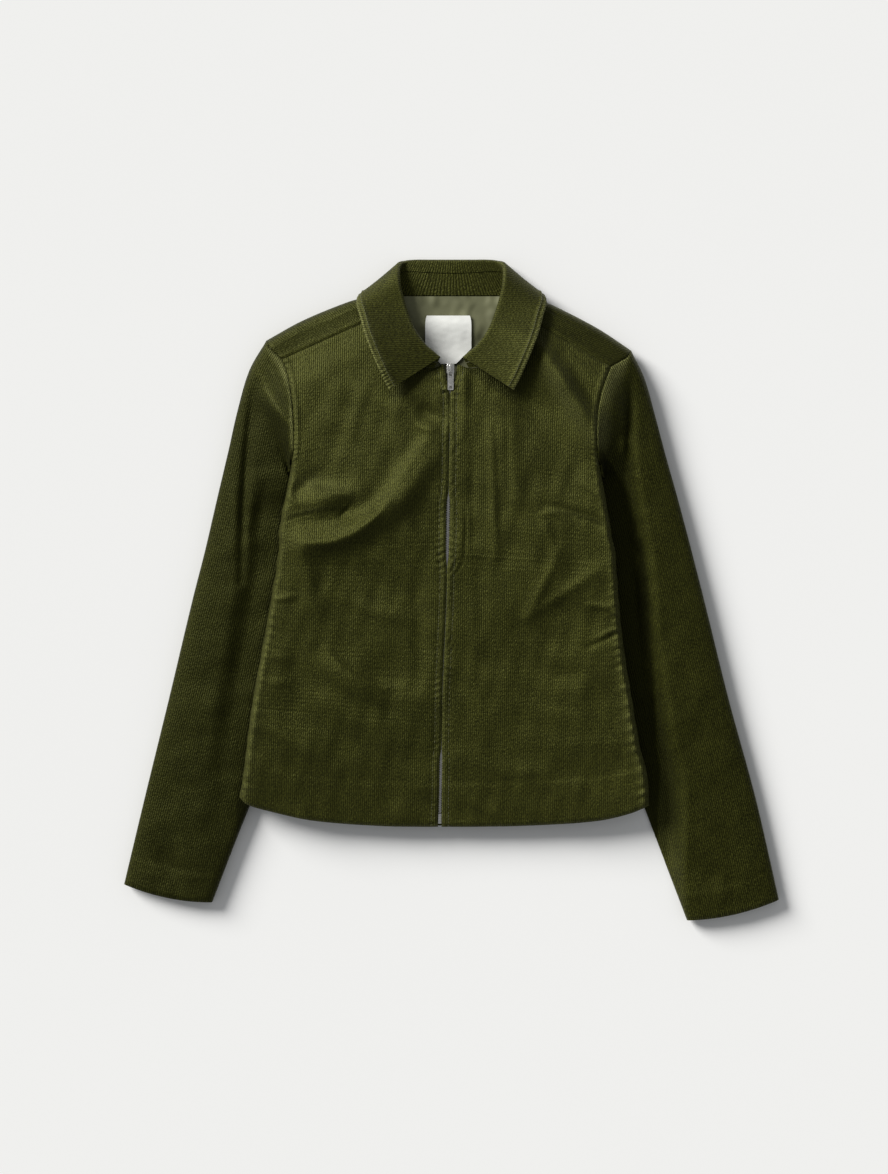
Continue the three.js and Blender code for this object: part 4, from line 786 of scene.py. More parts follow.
# %% Making the back
def back_panel():
    r = np.concatenate([np.linspace(0, 20, 131), np.linspace(20, ALL_ROWS, 61)[1:]])[:, None]
    side = np.linspace(0, 3, 8)
    c = np.concatenate([side, np.linspace(3, LAST_COLUMN - 3, 150)[1:-1], LAST_COLUMN - side[::-1]])[None, :]
    x, y, row_y, drop, steps = back_plan(np.minimum(r, ALL_ROWS - 1), c)
    z = np.where(
        x < 0,
        body_height(RIGHT, x, y, -1, row_y, drop),
        body_height(LEFT, x, y, -1, row_y, drop),
    )
    swell = 0.8 * uneven(x, y, 70, 11) + folded(FINE_BACK, x, y)
    off_floor = smooth(z / 6)
    lifted = np.abs(swell) * (1 - off_floor) + swell * off_floor
    z = z + np.maximum(lifted, 0) * (1 - drop)
    top = back_top(c[0])
    last = np.broadcast_to(top[None], x.shape + (3,))
    points = np.stack([x, y, z], -1)
    t = np.clip(r - (ALL_ROWS - 1), 0, 1)[..., None]
    points = mix(points, last, t)
    flat = np.hypot(np.diff(points[..., 0], axis=1), np.diff(points[..., 2], axis=1))
    arc = np.concatenate([np.zeros((len(r), 1)), np.cumsum(flat, axis=1)], axis=1)
    middle = c.shape[1] // 2
    across = points[:, middle, 0][:, None] + arc - arc[:, middle][:, None]
    grain = np.stack([across, points[..., 1]], -1) * 0.001
    lean = np.full(points.shape, np.nan)
    for edge, half in ((0, RIGHT), (-1, LEFT)):
        roll = rolled(half, row_height(half, r[:, 0]))
        lean[:, edge] = np.stack([half["sign"] * roll, 0 * roll, -(1 - roll) - 1e-6], -1)
    first = ROUND_COLUMNS + SHOULDER_COLUMNS
    neck = (c[0] >= first) & (c[0] <= LAST_COLUMN - first)
    lean[-1, neck] = [0, 0, -1]
    patches = [{"points": points, "map": grain, "flip": True, "lean": lean}]
    for half, pick in ((RIGHT, c[0] <= first), (LEFT, c[0] >= LAST_COLUMN - first)):
        patches.append(forward_shoulder(half, c[0][pick], points[-1][pick], grain[-1][pick]))
    return patches


def forward_shoulder(half, c, start, start_map):
    """The part of the back that goes over a shoulder to the seam on the front."""
    own = c if half["sign"] < 0 else LAST_COLUMN - c
    u = shoulder_share(half, own)
    fold = shoulder_point(half, u[None, :], np.linspace(0, 180, 15)[:, None])
    t = np.linspace(0, 1, 16)[1:, None]
    seam_x, seam_y = read(half["seam"], u)
    x, y = mix(fold[-1, :, 0], seam_x, t), mix(fold[-1, :, 1], seam_y + SHOULDER_GAP, t)
    flat = np.stack([x, y, front_height(x, y)], -1)
    points = np.concatenate([start[None], fold[1:], flat])
    step = np.linalg.norm(np.diff(points, axis=0), axis=2)
    went = np.concatenate([np.zeros((1, len(c))), np.cumsum(step, axis=0)]) * 0.001
    out = shoulder_out(half)
    grain = start_map[None] + went[..., None] * out
    to_seam = (went[-1] - went) * 1000
    points[..., 2] -= 0.3 * brink(to_seam, 1.5) - 0.3 * crest(to_seam, 3.5, 2.0)
    points[..., 2] -= np.where(went > 0.012, 1.2 * brink(u * SHOULDER_LENGTH, 1.8)[None], 0)
    # Lighter on the seam's swell, where wear crushes the nap and a painted highlight lies too, then painted
    # shade over the whole shoulder and the collar leaf's painted shadow.
    worn = 0.4 * crest(to_seam, 3.0, 1.8) - SHOULDER_SHADE - painted_leaf_shadow(points[..., 0], points[..., 1])
    points[0] = start
    lean = np.full(points.shape, np.nan)
    lean[-1] = [0, 0, 1]
    return {"points": points, "map": grain, "worn": worn, "flip": True, "lean": lean}


back = cloth("corduroy_back", back_panel())

# %% [markdown]
# ## The sleeves
# A sleeve is a tube that starts as the armhole seam and lies down into flat sections. Half a ring runs from
# the outer fold over the front to the inner fold, and the other half comes back underneath. The ribs run
# parallel to the outer fold. The cuff's edge is turned in, and it bows a little.

# %% Sleeve shape
SLEEVE = {
    "straighten": 120, "bow_fade": 70, "settle_shoulder": 75, "settle_underarm": 22,
    "evenness": 0.45, "roundness": 0.24, "cuff_from": 480, "cuff_over": 140, "cuff_bow": 5,
    "valley_from": 20, "valley_ramp": 24, "valley_blend": 50,
}


def armhole_seam(half, up, q):
    """Points of the armhole seam, from the shoulder fold to the underarm, at places q in the solids' rows."""
    start = 2
    fold = shoulder_point(half, np.zeros_like(q), 90 + up * 45 * np.minimum(q, start))
    if up > 0:
        tip = shoulder_point(half, np.array(0.0), 180.0)
        t = np.clip((q - 2) / 2, 0, 1)
        x, y = mix(tip[0], half["seam"][0][1], t), mix(tip[1], half["seam"][0][2], t)
        forward = np.stack([x, y, front_height(x, y)], -1)
        start = 4
    y = row_height(half, ALL_ROWS - np.maximum(q - start, 0))
    x = edge_x(half, y)
    side = np.stack([x, y, body_height(half, x, y, up, y, np.ones_like(q))], -1)
    if up > 0:
        return np.where((q <= 2)[:, None], fold, np.where((q <= 4)[:, None], forward, side))
    first = row_height(half, np.array(ALL_ROWS - 1.0))
    first_x = edge_x(half, first)
    at = np.array([float(first_x), float(first), float(body_height(half, first_x, first, up, first, 1.0))])
    between = mix(shoulder_point(half, np.array(0.0), 0.0), at, np.clip(q - 2, 0, 1)[:, None])
    return np.where((q <= 2)[:, None], fold, np.where((q <= 3)[:, None], between, side))


print("armhole seams start at the shoulder fold")


# %% Half a sleeve
def sleeve_half(half, up, at):
    """Points of half a sleeve, its front half where up is 1 and the one under it where up is -1."""
    count = 14 if up > 0 else 12
    q = np.linspace(0, count, 64 if up > 0 else 56)
    seam = armhole_seam(half, up, q)
    seam[-1, 2] = seam_height(half, half["underarm"])
    seam, q, at = seam[None], q[None, :], at[:, None]
    outer_x, outer_y, inner_x, inner_y, loft = read(half["sleeve"], at)
    first, last = seam[:, :1], seam[:, -1:]
    seam_share = (seam[..., 1] - first[..., 1]) / (last[..., 1] - first[..., 1])
    angle = np.pi * q / count
    flat_share = mix((1 - np.cos(angle)) / 2, q / count, SLEEVE["evenness"])
    share = mix(seam_share, flat_share, smooth(at / SLEEVE["straighten"]))
    bow = (seam[..., 0] - mix(first[..., 0], last[..., 0], seam_share)) * np.exp(-at / SLEEVE["bow_fade"])
    cuff = SLEEVE["cuff_bow"] * smooth((at - SLEEVE["cuff_from"]) / SLEEVE["cuff_over"])
    x = mix(outer_x, inner_x, share) + bow
    y = mix(outer_y, inner_y, share) - cuff * 4 * share * (1 - share)
    past_body = half["sign"] * (x - edge_x(half, np.minimum(y, half["underarm"])))
    beside = smooth((past_body - SLEEVE["valley_from"]) / SLEEVE["valley_ramp"])
    low, start = half["valley"]
    above = smooth(0.5 + (y - half["underarm"] - start) / SLEEVE["valley_blend"])
    thick = mix(low, loft, mix(beside, 1, above))
    round_off = np.sin(angle)
    swell = 0.26 * uneven(x, y, 70, 21 + half["sign"]) + 0.14 * uneven(x, y, 24, 31 + half["sign"])
    crease = (folded(SLEEVE_FOLDS, x, y) + 0.6 * folded(FINE_SLEEVE, x, y) + swell) * round_off
    if up < 0:
        crease = np.maximum(0.9 * uneven(x, y, 60, 41 + half["sign"]), 0) * round_off
    length = half["sleeve"][-1][0]
    to_cuff = length - at
    hem = 0.4 * (1 - smooth((to_cuff - 30) / 4)) * np.minimum(2 * round_off, 1)
    crease = crease + up * (hem - 1.2 * np.exp(-to_cuff / 1.2) * np.minimum(2 * round_off, 1))
    if up < 0:
        crease = np.maximum(crease, 0)
    flat_z = thick / 2 * (1 + up * round_off ** SLEEVE["roundness"]) + crease
    settled = smooth(at / (SLEEVE["settle_shoulder"] * (1 - seam_share) + SLEEVE["settle_underarm"]))
    z = mix(seam[..., 2] - (0.8 if up > 0 else 0) * np.exp(-at / 2.0), flat_z, settled)
    roll_out = rolled(half, seam[..., 1]) * smooth(1.2 * seam_share)
    x = x + half["sign"] * (0.3 + 0.9 * roll_out) * np.exp(-at / 3.0)
    return np.stack([x, y, z], -1)


print("a sleeve is", RIGHT["sleeve"][-1][0], "and", LEFT["sleeve"][-1][0], "mm long to the cuff")


# %% Making a sleeve
def in_hollow(half, x, y):
    """Painted shadow of the body on the sleeve: 1 where the sleeve lies low beside the body, 0 elsewhere."""
    past_body = half["sign"] * (x - edge_x(half, np.minimum(y, half["underarm"])))
    width = np.where(y < half["hollow"][-1][0], read(half["hollow"], y), 0)
    return (1 - smooth((past_body - width) / (0.1 * width + 1) + 0.5)) * smooth(width / 4)


def from_outer_fold(half, x, y):
    """Distance in from the sleeve's outer fold, and distance down it, of points of the plan."""
    line = np.array([read(half["sleeve"], at)[:2] for at in np.linspace(0, half["sleeve"][-1][0], 60)])
    nearest, along = np.full(x.shape, 1e9), np.zeros(x.shape)
    went = 0.0
    for (ax, ay), (bx, by) in zip(line[:-1], line[1:]):
        length = math.hypot(bx - ax, by - ay)
        t = np.clip(((x - ax) * (bx - ax) + (y - ay) * (by - ay)) / length**2, -0.5 if went == 0 else 0, 1)
        d = np.hypot(x - ax - t * (bx - ax), y - ay - t * (by - ay))
        along = np.where(d < nearest, went + t * length, along)
        nearest = np.minimum(d, nearest)
        went += length
    return nearest, along


def sleeve_piece(name, half):
    length = half["sleeve"][-1][0]
    near = length * (np.linspace(0, 1, 22) ** 1.3) * 0.04
    at = np.concatenate([near, np.linspace(near[-1], length, 236)[1:]])
    patches = []
    for up in (1, -1):
        points = sleeve_half(half, up, at)
        d, along = from_outer_fold(half, points[..., 0], points[..., 1])
        flat = np.hypot(np.diff(points[..., 0], axis=1), np.diff(points[..., 1], axis=1))
        full = np.hypot(flat, np.diff(points[..., 2], axis=1))
        extra = np.concatenate([np.zeros((len(at), 1)), np.cumsum(full - flat, axis=1)], axis=1)
        grain = np.stack([half["sign"] * up * (d + extra), -along], -1) * 0.001
        to_cuff = (length - at)[:, None]
        fold = np.minimum(extra, extra[:, -1:] - extra)
        # Lighter at the cuff, the armhole and along the folds, where wear crushes the nap and a painted
        # highlight lies too.
        worn = 0.35 * np.exp(-to_cuff / 2.5) + 0.3 * np.exp(-at[:, None] / 3.0) + 0.4 * np.exp(-fold / 2.2)
        worn = np.clip(worn, 0, 1)
        if up > 0:
            x, y = points[..., 0], points[..., 1]
            # On the top half: the body's painted shadow beside it, the sleeve's painted shade, and painted
            # highlights and shade along the rubbed curves.
            worn = worn - in_hollow(half, x, y) - read(half["sleeve_painted_shade"], y) + folded(half["rubbed"], x, y)
        patches.append({"points": points, "map": grain, "worn": worn, "flip": (up < 0) == (half["sign"] > 0)})
    patches[1]["points"][:, 0] = patches[0]["points"][:, 0]
    patches[1]["points"][:, -1] = patches[0]["points"][:, -1]
    return cloth(name, patches)


sleeve_right = sleeve_piece("corduroy_sleeve_right", RIGHT)
sleeve_left = sleeve_piece("corduroy_sleeve_left", LEFT)

# %% [markdown]
# ## The collar
# The stand is sewn to the neck and rises to the roll, and the leaf folds over it and falls outside. At the
# front the stand lies flat on the chest, at the back it stands up, so each section has its own way out of
# the neck. The ribs run across the collar's length: side to side on the front leaves, and up and down at
# the back neck.

# %% Collar sections
SIDEWAYS = np.array([0.68, 0.73, 0.0])
ROLL_RADIUS, STAND_TOP, NECK_GAP, LEAF_LIFT = 2.7, 15, 0.2, 2.7
LEAF_STITCH = 7.0  # from the leaf's edge to its stitching
LEFT_LEAF_SHADE = 0.22  # painted shade: how much darker the left leaf is coloured inside its edge
STATIONS = 330  # along the collar
STAND_STEPS, INNER_STEPS, ROLL_STEPS, FALL_STEPS = 15, 9, 12, 33  # across it


def collar_sections(s):
    """Seam, roll and edge points of the collar at stations s, and the ways between them."""
    sign = np.where(s > CENTRE_BACK, 1.0, -1.0)
    own = np.where(s > CENTRE_BACK, 2 * CENTRE_BACK - s, s)
    turn, seam_x, seam_y, roll_x, roll_y, leaf_x, leaf_y, lift = read(COLLAR, own)
    turn = np.radians(turn)
    out = SIDEWAYS * np.sin(turn)[:, None] + np.array([0, 0, 1.0]) * np.cos(turn)[:, None]
    out /= np.linalg.norm(out, axis=1, keepdims=True)
    out[:, 0] *= sign
    front = (1 + np.cos(turn)) / 2

    def at(x, y):
        return np.stack([sign * x, y, mix(NECK_LIFT, front_height(sign * x, y), front)], -1)

    seam, roll, edge = at(seam_x, seam_y), at(roll_x, roll_y), at(leaf_x, leaf_y)
    edge = edge + out * (lift * mix(1.0, LEAF_LIFT, front))[:, None]
    return seam, roll, edge, out, front


def unit(v):
    length = np.linalg.norm(v, axis=1, keepdims=True)
    return v / length, length[:, 0]


front_end = [round(float(point[0, 2]), 1) for point in collar_sections(np.array([0.0]))[:3]]
print("seam, roll and edge are", front_end, "mm up at the collar's front end")


# %% Making the collar
def collar_patches():
    s = np.linspace(0, 2 * CENTRE_BACK, STATIONS)
    seam, roll, edge, out, front = collar_sections(s)
    stand_way, stand_length = unit(seam - roll)
    leaf_way, leaf_length = unit(edge - roll)
    seam_along = np.minimum(STAND_TOP, stand_length / 2)
    under, over = -WALL, 2 * ROLL_RADIUS - WALL

    def place(along, way, level):
        return roll + way * along[:, None] + out * np.broadcast_to(level, along.shape)[:, None]

    stand, across_stand, leaf, across_leaf = [], [], [], []
    for t in np.linspace(0, 1, STAND_STEPS + 1):
        low = stand_length - NECK_GAP
        stand.append(place(mix(low, seam_along + 3 * SEAM_GAP, t), stand_way, under))
        across_stand.append(mix(low, seam_along, t))
    for t in np.linspace(0, 1, INNER_STEPS + 1):
        leaf.append(place(mix(seam_along, ROLL_RADIUS + 0 * seam_along, t), stand_way, under))
        across_leaf.append(-mix(seam_along, 0 * seam_along, t))
    for angle in np.linspace(0, np.pi, ROLL_STEPS + 1)[1:]:
        way = stand_way if angle <= np.pi / 2 else leaf_way
        along, level = ROLL_RADIUS * (1 - np.sin(angle)), ROLL_RADIUS * (1 - np.cos(angle)) - WALL
        leaf.append(place(along + 0 * seam_along, way, level))
        across_leaf.append(ROLL_RADIUS * angle + 0 * seam_along)
    for t in np.linspace(0, 1, FALL_STEPS + 1)[1:]:
        along = mix(ROLL_RADIUS + 0 * leaf_length, leaf_length, t)
        from_edge = leaf_length - along
        ridge = 0.75 * crest(from_edge, LEAF_STITCH, 1.4)
        dip = -0.5 * crest(from_edge, LEAF_STITCH - 2.6, 1.6) - 1.3 * np.exp(-from_edge / 1.1)
        sag = -0.8 * np.sin(np.pi * t) * front
        wave = 0.35 * gathers(s * 28, 9.0, 2.5) * crest(from_edge, 0, 9)
        leaf.append(place(along, leaf_way, over + ridge + dip + sag + wave))
        across_leaf.append(ROLL_RADIUS * np.pi + along)
    stand, leaf = np.stack(stand, 1), np.stack(leaf, 1)
    leaf[..., 2] = np.maximum(leaf[..., 2], 0.02)
    step = np.hypot(np.diff(roll[:, 1]), np.diff(roll[:, 0]) * (1 - front[1:]) ** 0.5)
    along_roll = np.concatenate([[0], np.cumsum(step)])
    along_roll = along_roll - along_roll[STATIONS // 2]
    downwards = np.where(s < CENTRE_BACK, 1, -1)

    def grain(points, across):
        shift = (points[..., 1] - roll[:, None, 1]) * (front * downwards)[:, None]
        return np.stack([along_roll[:, None] + shift, np.stack(across, 1)], -1) * 0.001

    across = np.stack(across_leaf, 1)
    from_edge = leaf_length[:, None] + ROLL_RADIUS * np.pi - across
    # Lighter along the leaf's edge, its stitching and the roll, where wear crushes the nap and a painted
    # highlight lies too; the left front leaf gets painted shade inside its edge.
    worn = 0.55 * crest(from_edge, 0, 3.0) + 0.4 * np.exp(-((from_edge / 6.2) ** 4))
    worn += 0.35 * crest(from_edge, LEAF_STITCH + 1.5, 1.4)
    worn += 0.5 * crest(across, ROLL_RADIUS * np.pi / 2, 4.0) * mix(0.7, 1, front)[:, None]
    inner_part = 1 - np.exp(-((from_edge / 9) ** 4))
    left_front = (np.where(s > CENTRE_BACK, 1, 0) * front)[:, None]
    worn = np.clip(worn, 0, 1) - LEFT_LEAF_SHADE * inner_part * left_front
    lean_stand = np.broadcast_to(-out[:, None], stand.shape)
    lean_leaf = np.full(leaf.shape, np.nan)
    lean_leaf[:, 0] = -out
    return (
        {"points": stand, "map": grain(stand, across_stand), "flip": True, "lean": lean_stand},
        {"points": leaf, "map": grain(leaf, across_leaf), "worn": worn, "flip": True, "lean": lean_leaf},
    )


stand_patch, leaf_patch = collar_patches()
collar_stand = cloth("corduroy_collar_stand", [stand_patch])
collar_leaf = cloth("corduroy_collar_leaf", [leaf_patch])

# %% [markdown]
# ## The lining and the blank label
# Inside the neck a thin smooth lining covers the back panel, and a label is sewn on it by its corners. The
# label carries no lettering. Both are grids laid on the inside of the back, the label with rounded corners
# and faint creases.

# %% Lining and label
LINING = {"half_width": 66, "from": 205, "to": 325}
LABEL = {"x": -3.5, "y": 277, "width": 51, "height": 53, "corner": 17}
LINING_WALL = 1.0


def inside_patch(x, y, above, wall, extra=0.0):
    z = back_height(x, y) + WALL + above + wall + extra
    points = np.stack(np.broadcast_arrays(x, y, z), -1)
    lean = np.zeros(points.shape) + [0, 0, 1.0]
    return {"points": points, "map": points[..., :2] * 0.001, "lean": lean}


x = np.linspace(-1, 1, 60) * LINING["half_width"]
x, y = np.meshgrid(x, np.linspace(LINING["from"], LINING["to"], 60))
soft = np.clip(0.5 * uneven(x, y, 34, 51) + 0.25 * uneven(x, y, 13, 52), -0.2, 1.2)
lining = cloth("back_lining_cloth", [inside_patch(x, y, SEAM_GAP, LINING_WALL, soft)], LINING_WALL)

u, v = np.meshgrid(np.linspace(-1, 1, 50), np.linspace(-1, 1, 50))
radius, corner = np.maximum(np.abs(u), np.abs(v)), LABEL["corner"]
narrow = np.clip((np.abs(v) * LABEL["height"] / 2 - (LABEL["height"] / 2 - corner)) / corner, 0, 1)
tuck = corner * np.where(v < 0, narrow, 0.1 * narrow**4)
x = LABEL["x"] + u * (LABEL["width"] / 2 - tuck)
y = LABEL["y"] + v * LABEL["height"] / 2
creases = 1.0 + np.clip(0.08 * uneven(x, y, 22, 61) + 0.03 * uneven(x, y, 9, 62), -0.6, 1.2)
on_lining = LINING_WALL + 2 * SEAM_GAP
label = cloth("blank_label", [inside_patch(x, y, on_lining, LINING_WALL, creases)], LINING_WALL)

# %% [markdown]
# ## The zip
# Two tapes lie under the front edges, the teeth meet in the middle, and the slider holds the two fronts
# apart at the neck. Teeth repeat hundreds of times along a line, so Geometry Nodes put them there: a curve
# along the zip, points at the pitch on it, and one small bent tooth on each point, turned to the other side
# on every second one.

# %% Zip tapes
TAPE_WALL, TAPE_WIDTH, BEHIND_FRONT, BOX_WIDTH = 1.0, 13, 0.6, 6.4
TAPE_ENDS = (HEM_AT_ZIP + 6, NECK_AT_ZIP - 16)


def zip_height(x, y, drop):
    return front_height(x, y) - WALL - drop


def tape_piece(name, half):
    y = np.linspace(*TAPE_ENDS, 200)[:, None]
    offsets = np.sort(half["sign"] * np.linspace(BOX_WIDTH / 2 - 1.2, TAPE_WIDTH, 8))[None, :]
    x = read(ZIP, y)[0] + offsets
    z = zip_height(x, y, BEHIND_FRONT)
    points = np.stack(np.broadcast_arrays(x, y, z), -1)
    flat = {"points": points, "map": points[..., :2] * 0.001, "lean": np.zeros(points.shape) + [0, 0, 1.0]}
    return cloth(name, [flat], TAPE_WALL)


tape_right = tape_piece("zip_tape_right_cloth", RIGHT)
tape_left = tape_piece("zip_tape_left_cloth", LEFT)

# %% [markdown]
# ## Trees of geometry nodes
# A tree is a recipe that Blender runs on an object. Here the object is a bare path, and both trees follow
# it in the same steps: the path becomes a curve, the curve gets points at the pitch, and a small shape is
# put on each point and turned along the path. Instances are light but vanish in an export, so each tree
# ends by making them real and giving them a material. The result is then kept as a plain mesh. Modelling
# hundreds of teeth by hand, or with a loop of mesh code, would also work, but a tree with named sizes is
# easier to change.

# %% Helpers for geometry nodes
def path_object(name, lines):
    """An object of plain edges through points in mm, for a tree to follow."""
    points, edges = [], []
    for line in lines:
        edges += [(len(points) + k, len(points) + k + 1) for k in range(len(line) - 1)]
        points += [tuple(float(v) * 0.001 for v in point) for point in line]
    mesh = bpy.data.meshes.new(name)
    mesh.from_pydata(points, edges, [])
    piece = bpy.data.objects.new(name, mesh)
    bpy.context.scene.collection.objects.link(piece)
    return piece


def new_tree(name, inputs):
    tree = bpy.data.node_groups.new(name, "GeometryNodeTree")
    tree.interface.new_socket("Path", in_out="INPUT", socket_type="NodeSocketGeometry")
    for label, default in inputs.items():
        kind = "NodeSocketMaterial" if default is None else "NodeSocketFloat"
        socket = tree.interface.new_socket(label, in_out="INPUT", socket_type=kind)
        if default is not None:
            socket.default_value = default
    tree.interface.new_socket("Geometry", in_out="OUTPUT", socket_type="NodeSocketGeometry")
    return tree, tree.nodes.new("NodeGroupInput"), tree.nodes.new("NodeGroupOutput")


def plug(tree, kind, settings=None, **inputs):
    """A node with its settings and inputs; an input is a socket to link or a plain value."""
    node = tree.nodes.new(kind)
    for key, value in (settings or {}).items():
        setattr(node, key, value)
    for key, value in inputs.items():
        socket = node.inputs[int(key[1:])] if key[0] == "_" else node.inputs[key.replace("_", " ")]
        if isinstance(value, bpy.types.NodeSocket):
            tree.links.new(value, socket)
        else:
            socket.default_value = value
    return node


def grown(piece, tree, values, body="jacket"):
    """Runs a tree on a path with these values, keeps the result as a plain mesh, and puts it on its body."""
    modifier = piece.modifiers.new(tree.name, "NODES")
    modifier.node_group = tree
    for item in tree.interface.items_tree:
        if item.in_out == "INPUT" and item.name in values:
            modifier[item.identifier] = values[item.name]
    made = bpy.data.meshes.new_from_object(piece.evaluated_get(bpy.context.evaluated_depsgraph_get()))
    piece.modifiers.clear()
    piece.data = made
    made.name = piece.name
    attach(piece, body)
    print(piece.name, len(made.polygons), "faces")
    return piece


def points_on_path(tree, start):
    """The path as a curve with a point at every pitch, and the direction of the path there."""
    curve = plug(tree, "GeometryNodeMeshToCurve", Mesh=start.outputs["Path"]).outputs["Curve"]
    spaced = plug(
        tree, "GeometryNodeResampleCurve", {"mode": "LENGTH"}, Curve=curve, Length=start.outputs["Pitch"]
    )
    return spaced.outputs["Curve"], plug(tree, "GeometryNodeInputTangent").outputs["Tangent"]


def made_real(tree, start, end, placed, smooth_shade):
    """The end of a tree: instances made real, with their material."""
    shape = plug(tree, "GeometryNodeRealizeInstances", Geometry=placed.outputs["Instances"])
    shape = shape.outputs["Geometry"]
    if smooth_shade:
        shape = plug(tree, "GeometryNodeSetShadeSmooth", Geometry=shape).outputs["Geometry"]
    finished = plug(tree, "GeometryNodeSetMaterial", Geometry=shape, Material=start.outputs["Material"])
    tree.links.new(finished.outputs["Geometry"], end.inputs["Geometry"])
    return tree


# %% Tree for the zip's teeth
def teeth_tree():
    sizes = {"Pitch": 0.00128, "Length": 0.0036, "Width": 0.0008, "Height": 0.0016, "Material": None}
    tree, start, end = new_tree("zip_teeth", sizes)
    points, tangent = points_on_path(tree, start)
    length, height = start.outputs["Length"], start.outputs["Height"]
    size = plug(tree, "ShaderNodeCombineXYZ", X=length, Y=start.outputs["Width"], Z=height)
    shank = plug(tree, "GeometryNodeMeshCube", Size=size.outputs["Vector"])
    across = plug(tree, "ShaderNodeMath", {"operation": "MULTIPLY"}, _0=length, _1=0.42)
    head_at = plug(tree, "ShaderNodeCombineXYZ", X=across.outputs[0])
    bulge = plug(tree, "ShaderNodeMath", {"operation": "MULTIPLY"}, _0=height, _1=0.36)
    ball = plug(tree, "GeometryNodeMeshIcoSphere", Radius=bulge.outputs[0], Subdivisions=1)
    head_at = head_at.outputs["Vector"]
    head = plug(tree, "GeometryNodeTransform", Geometry=ball.outputs["Mesh"], Translation=head_at)
    tooth = plug(tree, "GeometryNodeJoinGeometry")
    for part in (shank.outputs["Mesh"], head.outputs["Geometry"]):
        tree.links.new(part, tooth.inputs["Geometry"])
    half_back = plug(tree, "ShaderNodeMath", {"operation": "MULTIPLY"}, _0=length, _1=-0.22)
    offset = plug(tree, "ShaderNodeCombineXYZ", X=half_back.outputs[0]).outputs["Vector"]
    set_back = plug(tree, "GeometryNodeTransform", Geometry=tooth.outputs["Geometry"], Translation=offset)
    index = plug(tree, "GeometryNodeInputIndex")
    parity = plug(tree, "ShaderNodeMath", {"operation": "MODULO"}, _0=index.outputs["Index"], _1=2.0)
    half_turn = plug(tree, "ShaderNodeMath", {"operation": "MULTIPLY"}, _0=parity.outputs[0], _1=math.pi)
    heading = plug(tree, "FunctionNodeAlignRotationToVector", {"axis": "Y"}, Vector=tangent)
    heading = heading.outputs["Rotation"]
    turn = plug(tree, "FunctionNodeRotateRotation", {"rotation_space": "LOCAL"}, Rotation=heading)
    spin = plug(tree, "ShaderNodeCombineXYZ", Z=half_turn.outputs[0])
    as_turn = plug(tree, "FunctionNodeEulerToRotation", Euler=spin.outputs["Vector"])
    tree.links.new(as_turn.outputs["Rotation"], turn.inputs["Rotate By"])
    placed = plug(
        tree, "GeometryNodeInstanceOnPoints", Points=points, Instance=set_back.outputs["Geometry"],
        Rotation=turn.outputs["Rotation"],
    )
    return made_real(tree, start, end, placed, smooth_shade=False)


# %% Tree for stitches
def stitch_tree():
    sizes = {"Pitch": 0.0034, "Length": 0.0026, "Thread": 0.00032, "Material": None}
    tree, start, end = new_tree("stitches", sizes)
    points, tangent = points_on_path(tree, start)
    width = start.outputs["Thread"]
    thread = plug(tree, "GeometryNodeMeshUVSphere", Segments=6, Rings=5, Radius=width)
    ratio = plug(tree, "ShaderNodeMath", {"operation": "DIVIDE"}, _0=start.outputs["Length"], _1=width)
    half = plug(tree, "ShaderNodeMath", {"operation": "MULTIPLY"}, _0=ratio.outputs[0], _1=0.5)
    stretch = plug(tree, "ShaderNodeCombineXYZ", X=1.0, Y=1.0, Z=half.outputs[0])
    heading = plug(tree, "FunctionNodeAlignRotationToVector", {"axis": "Z"}, Vector=tangent)
    placed = plug(
        tree, "GeometryNodeInstanceOnPoints", Points=points, Instance=thread.outputs["Mesh"],
        Rotation=heading.outputs["Rotation"], Scale=stretch.outputs["Vector"],
    )
    return made_real(tree, start, end, placed, smooth_shade=True)


print("trees for teeth and stitches defined")

# %% [markdown]
# ## The corduroy finish
# Corduroy is a cotton velvet cut in ribs, here eleven to the inch. Each rib is a soft rounded nap that
# hides a darker groove, and no two ribs take the light alike. A value on each piece makes it lighter where
# wear crushes the nap at worn and folded places and where a painted highlight lies, and darker where painted
# shade or a painted shadow lies. The nap glows at a glancing angle. One node group makes ribs and nap from the
# texture map, for every corduroy piece, and the sheen is set on the shader itself.

# %% Short ways to build a shader
class Graph:
    """Short ways to add shader nodes to a tree and link them."""

    def __init__(self, tree):
        self.tree = tree

    def add(self, kind, settings=None, **inputs):
        return plug(self.tree, kind, settings, **inputs)

    def sum(self, operation, a, b=0.0, c=0.0):
        return self.add("ShaderNodeMath", {"operation": operation}, _0=a, _1=b, _2=c).outputs[0]

    def noise(self, vector, scale, detail=2.0, roughness=0.5):
        inputs = {"Vector": vector, "Scale": scale, "Detail": detail, "Roughness": roughness}
        return self.add("ShaderNodeTexNoise", **inputs).outputs["Fac"]

    def blend(self, factor, a, b, kind="MIX"):
        node = self.tree.nodes.new("ShaderNodeMix")
        node.data_type, node.blend_type = "RGBA", kind
        for socket, value in zip((node.inputs[0], node.inputs[6], node.inputs[7]), (factor, a, b)):
            if isinstance(value, bpy.types.NodeSocket):
                self.tree.links.new(value, socket)
            else:
                socket.default_value = value
        return node.outputs[2]

    def ramp(self, value, low, high, to_low=0.0, to_high=1.0):
        node = self.add("ShaderNodeMapRange", Value=value, _1=low, _2=high, _3=to_low, _4=to_high)
        return node.outputs[0]


def shader_group(name, inputs, outputs):
    group = bpy.data.node_groups.new(name, "ShaderNodeTree")
    kinds = {"float": "NodeSocketFloat", "vector": "NodeSocketVector", "colour": "NodeSocketColor"}
    for label, (kind, default) in inputs.items():
        socket = group.interface.new_socket(label, in_out="INPUT", socket_type=kinds[kind])
        if default is not None:
            socket.default_value = default
    for label, kind in outputs.items():
        group.interface.new_socket(label, in_out="OUTPUT", socket_type=kinds[kind])
    return group, group.nodes.new("NodeGroupInput"), group.nodes.new("NodeGroupOutput")


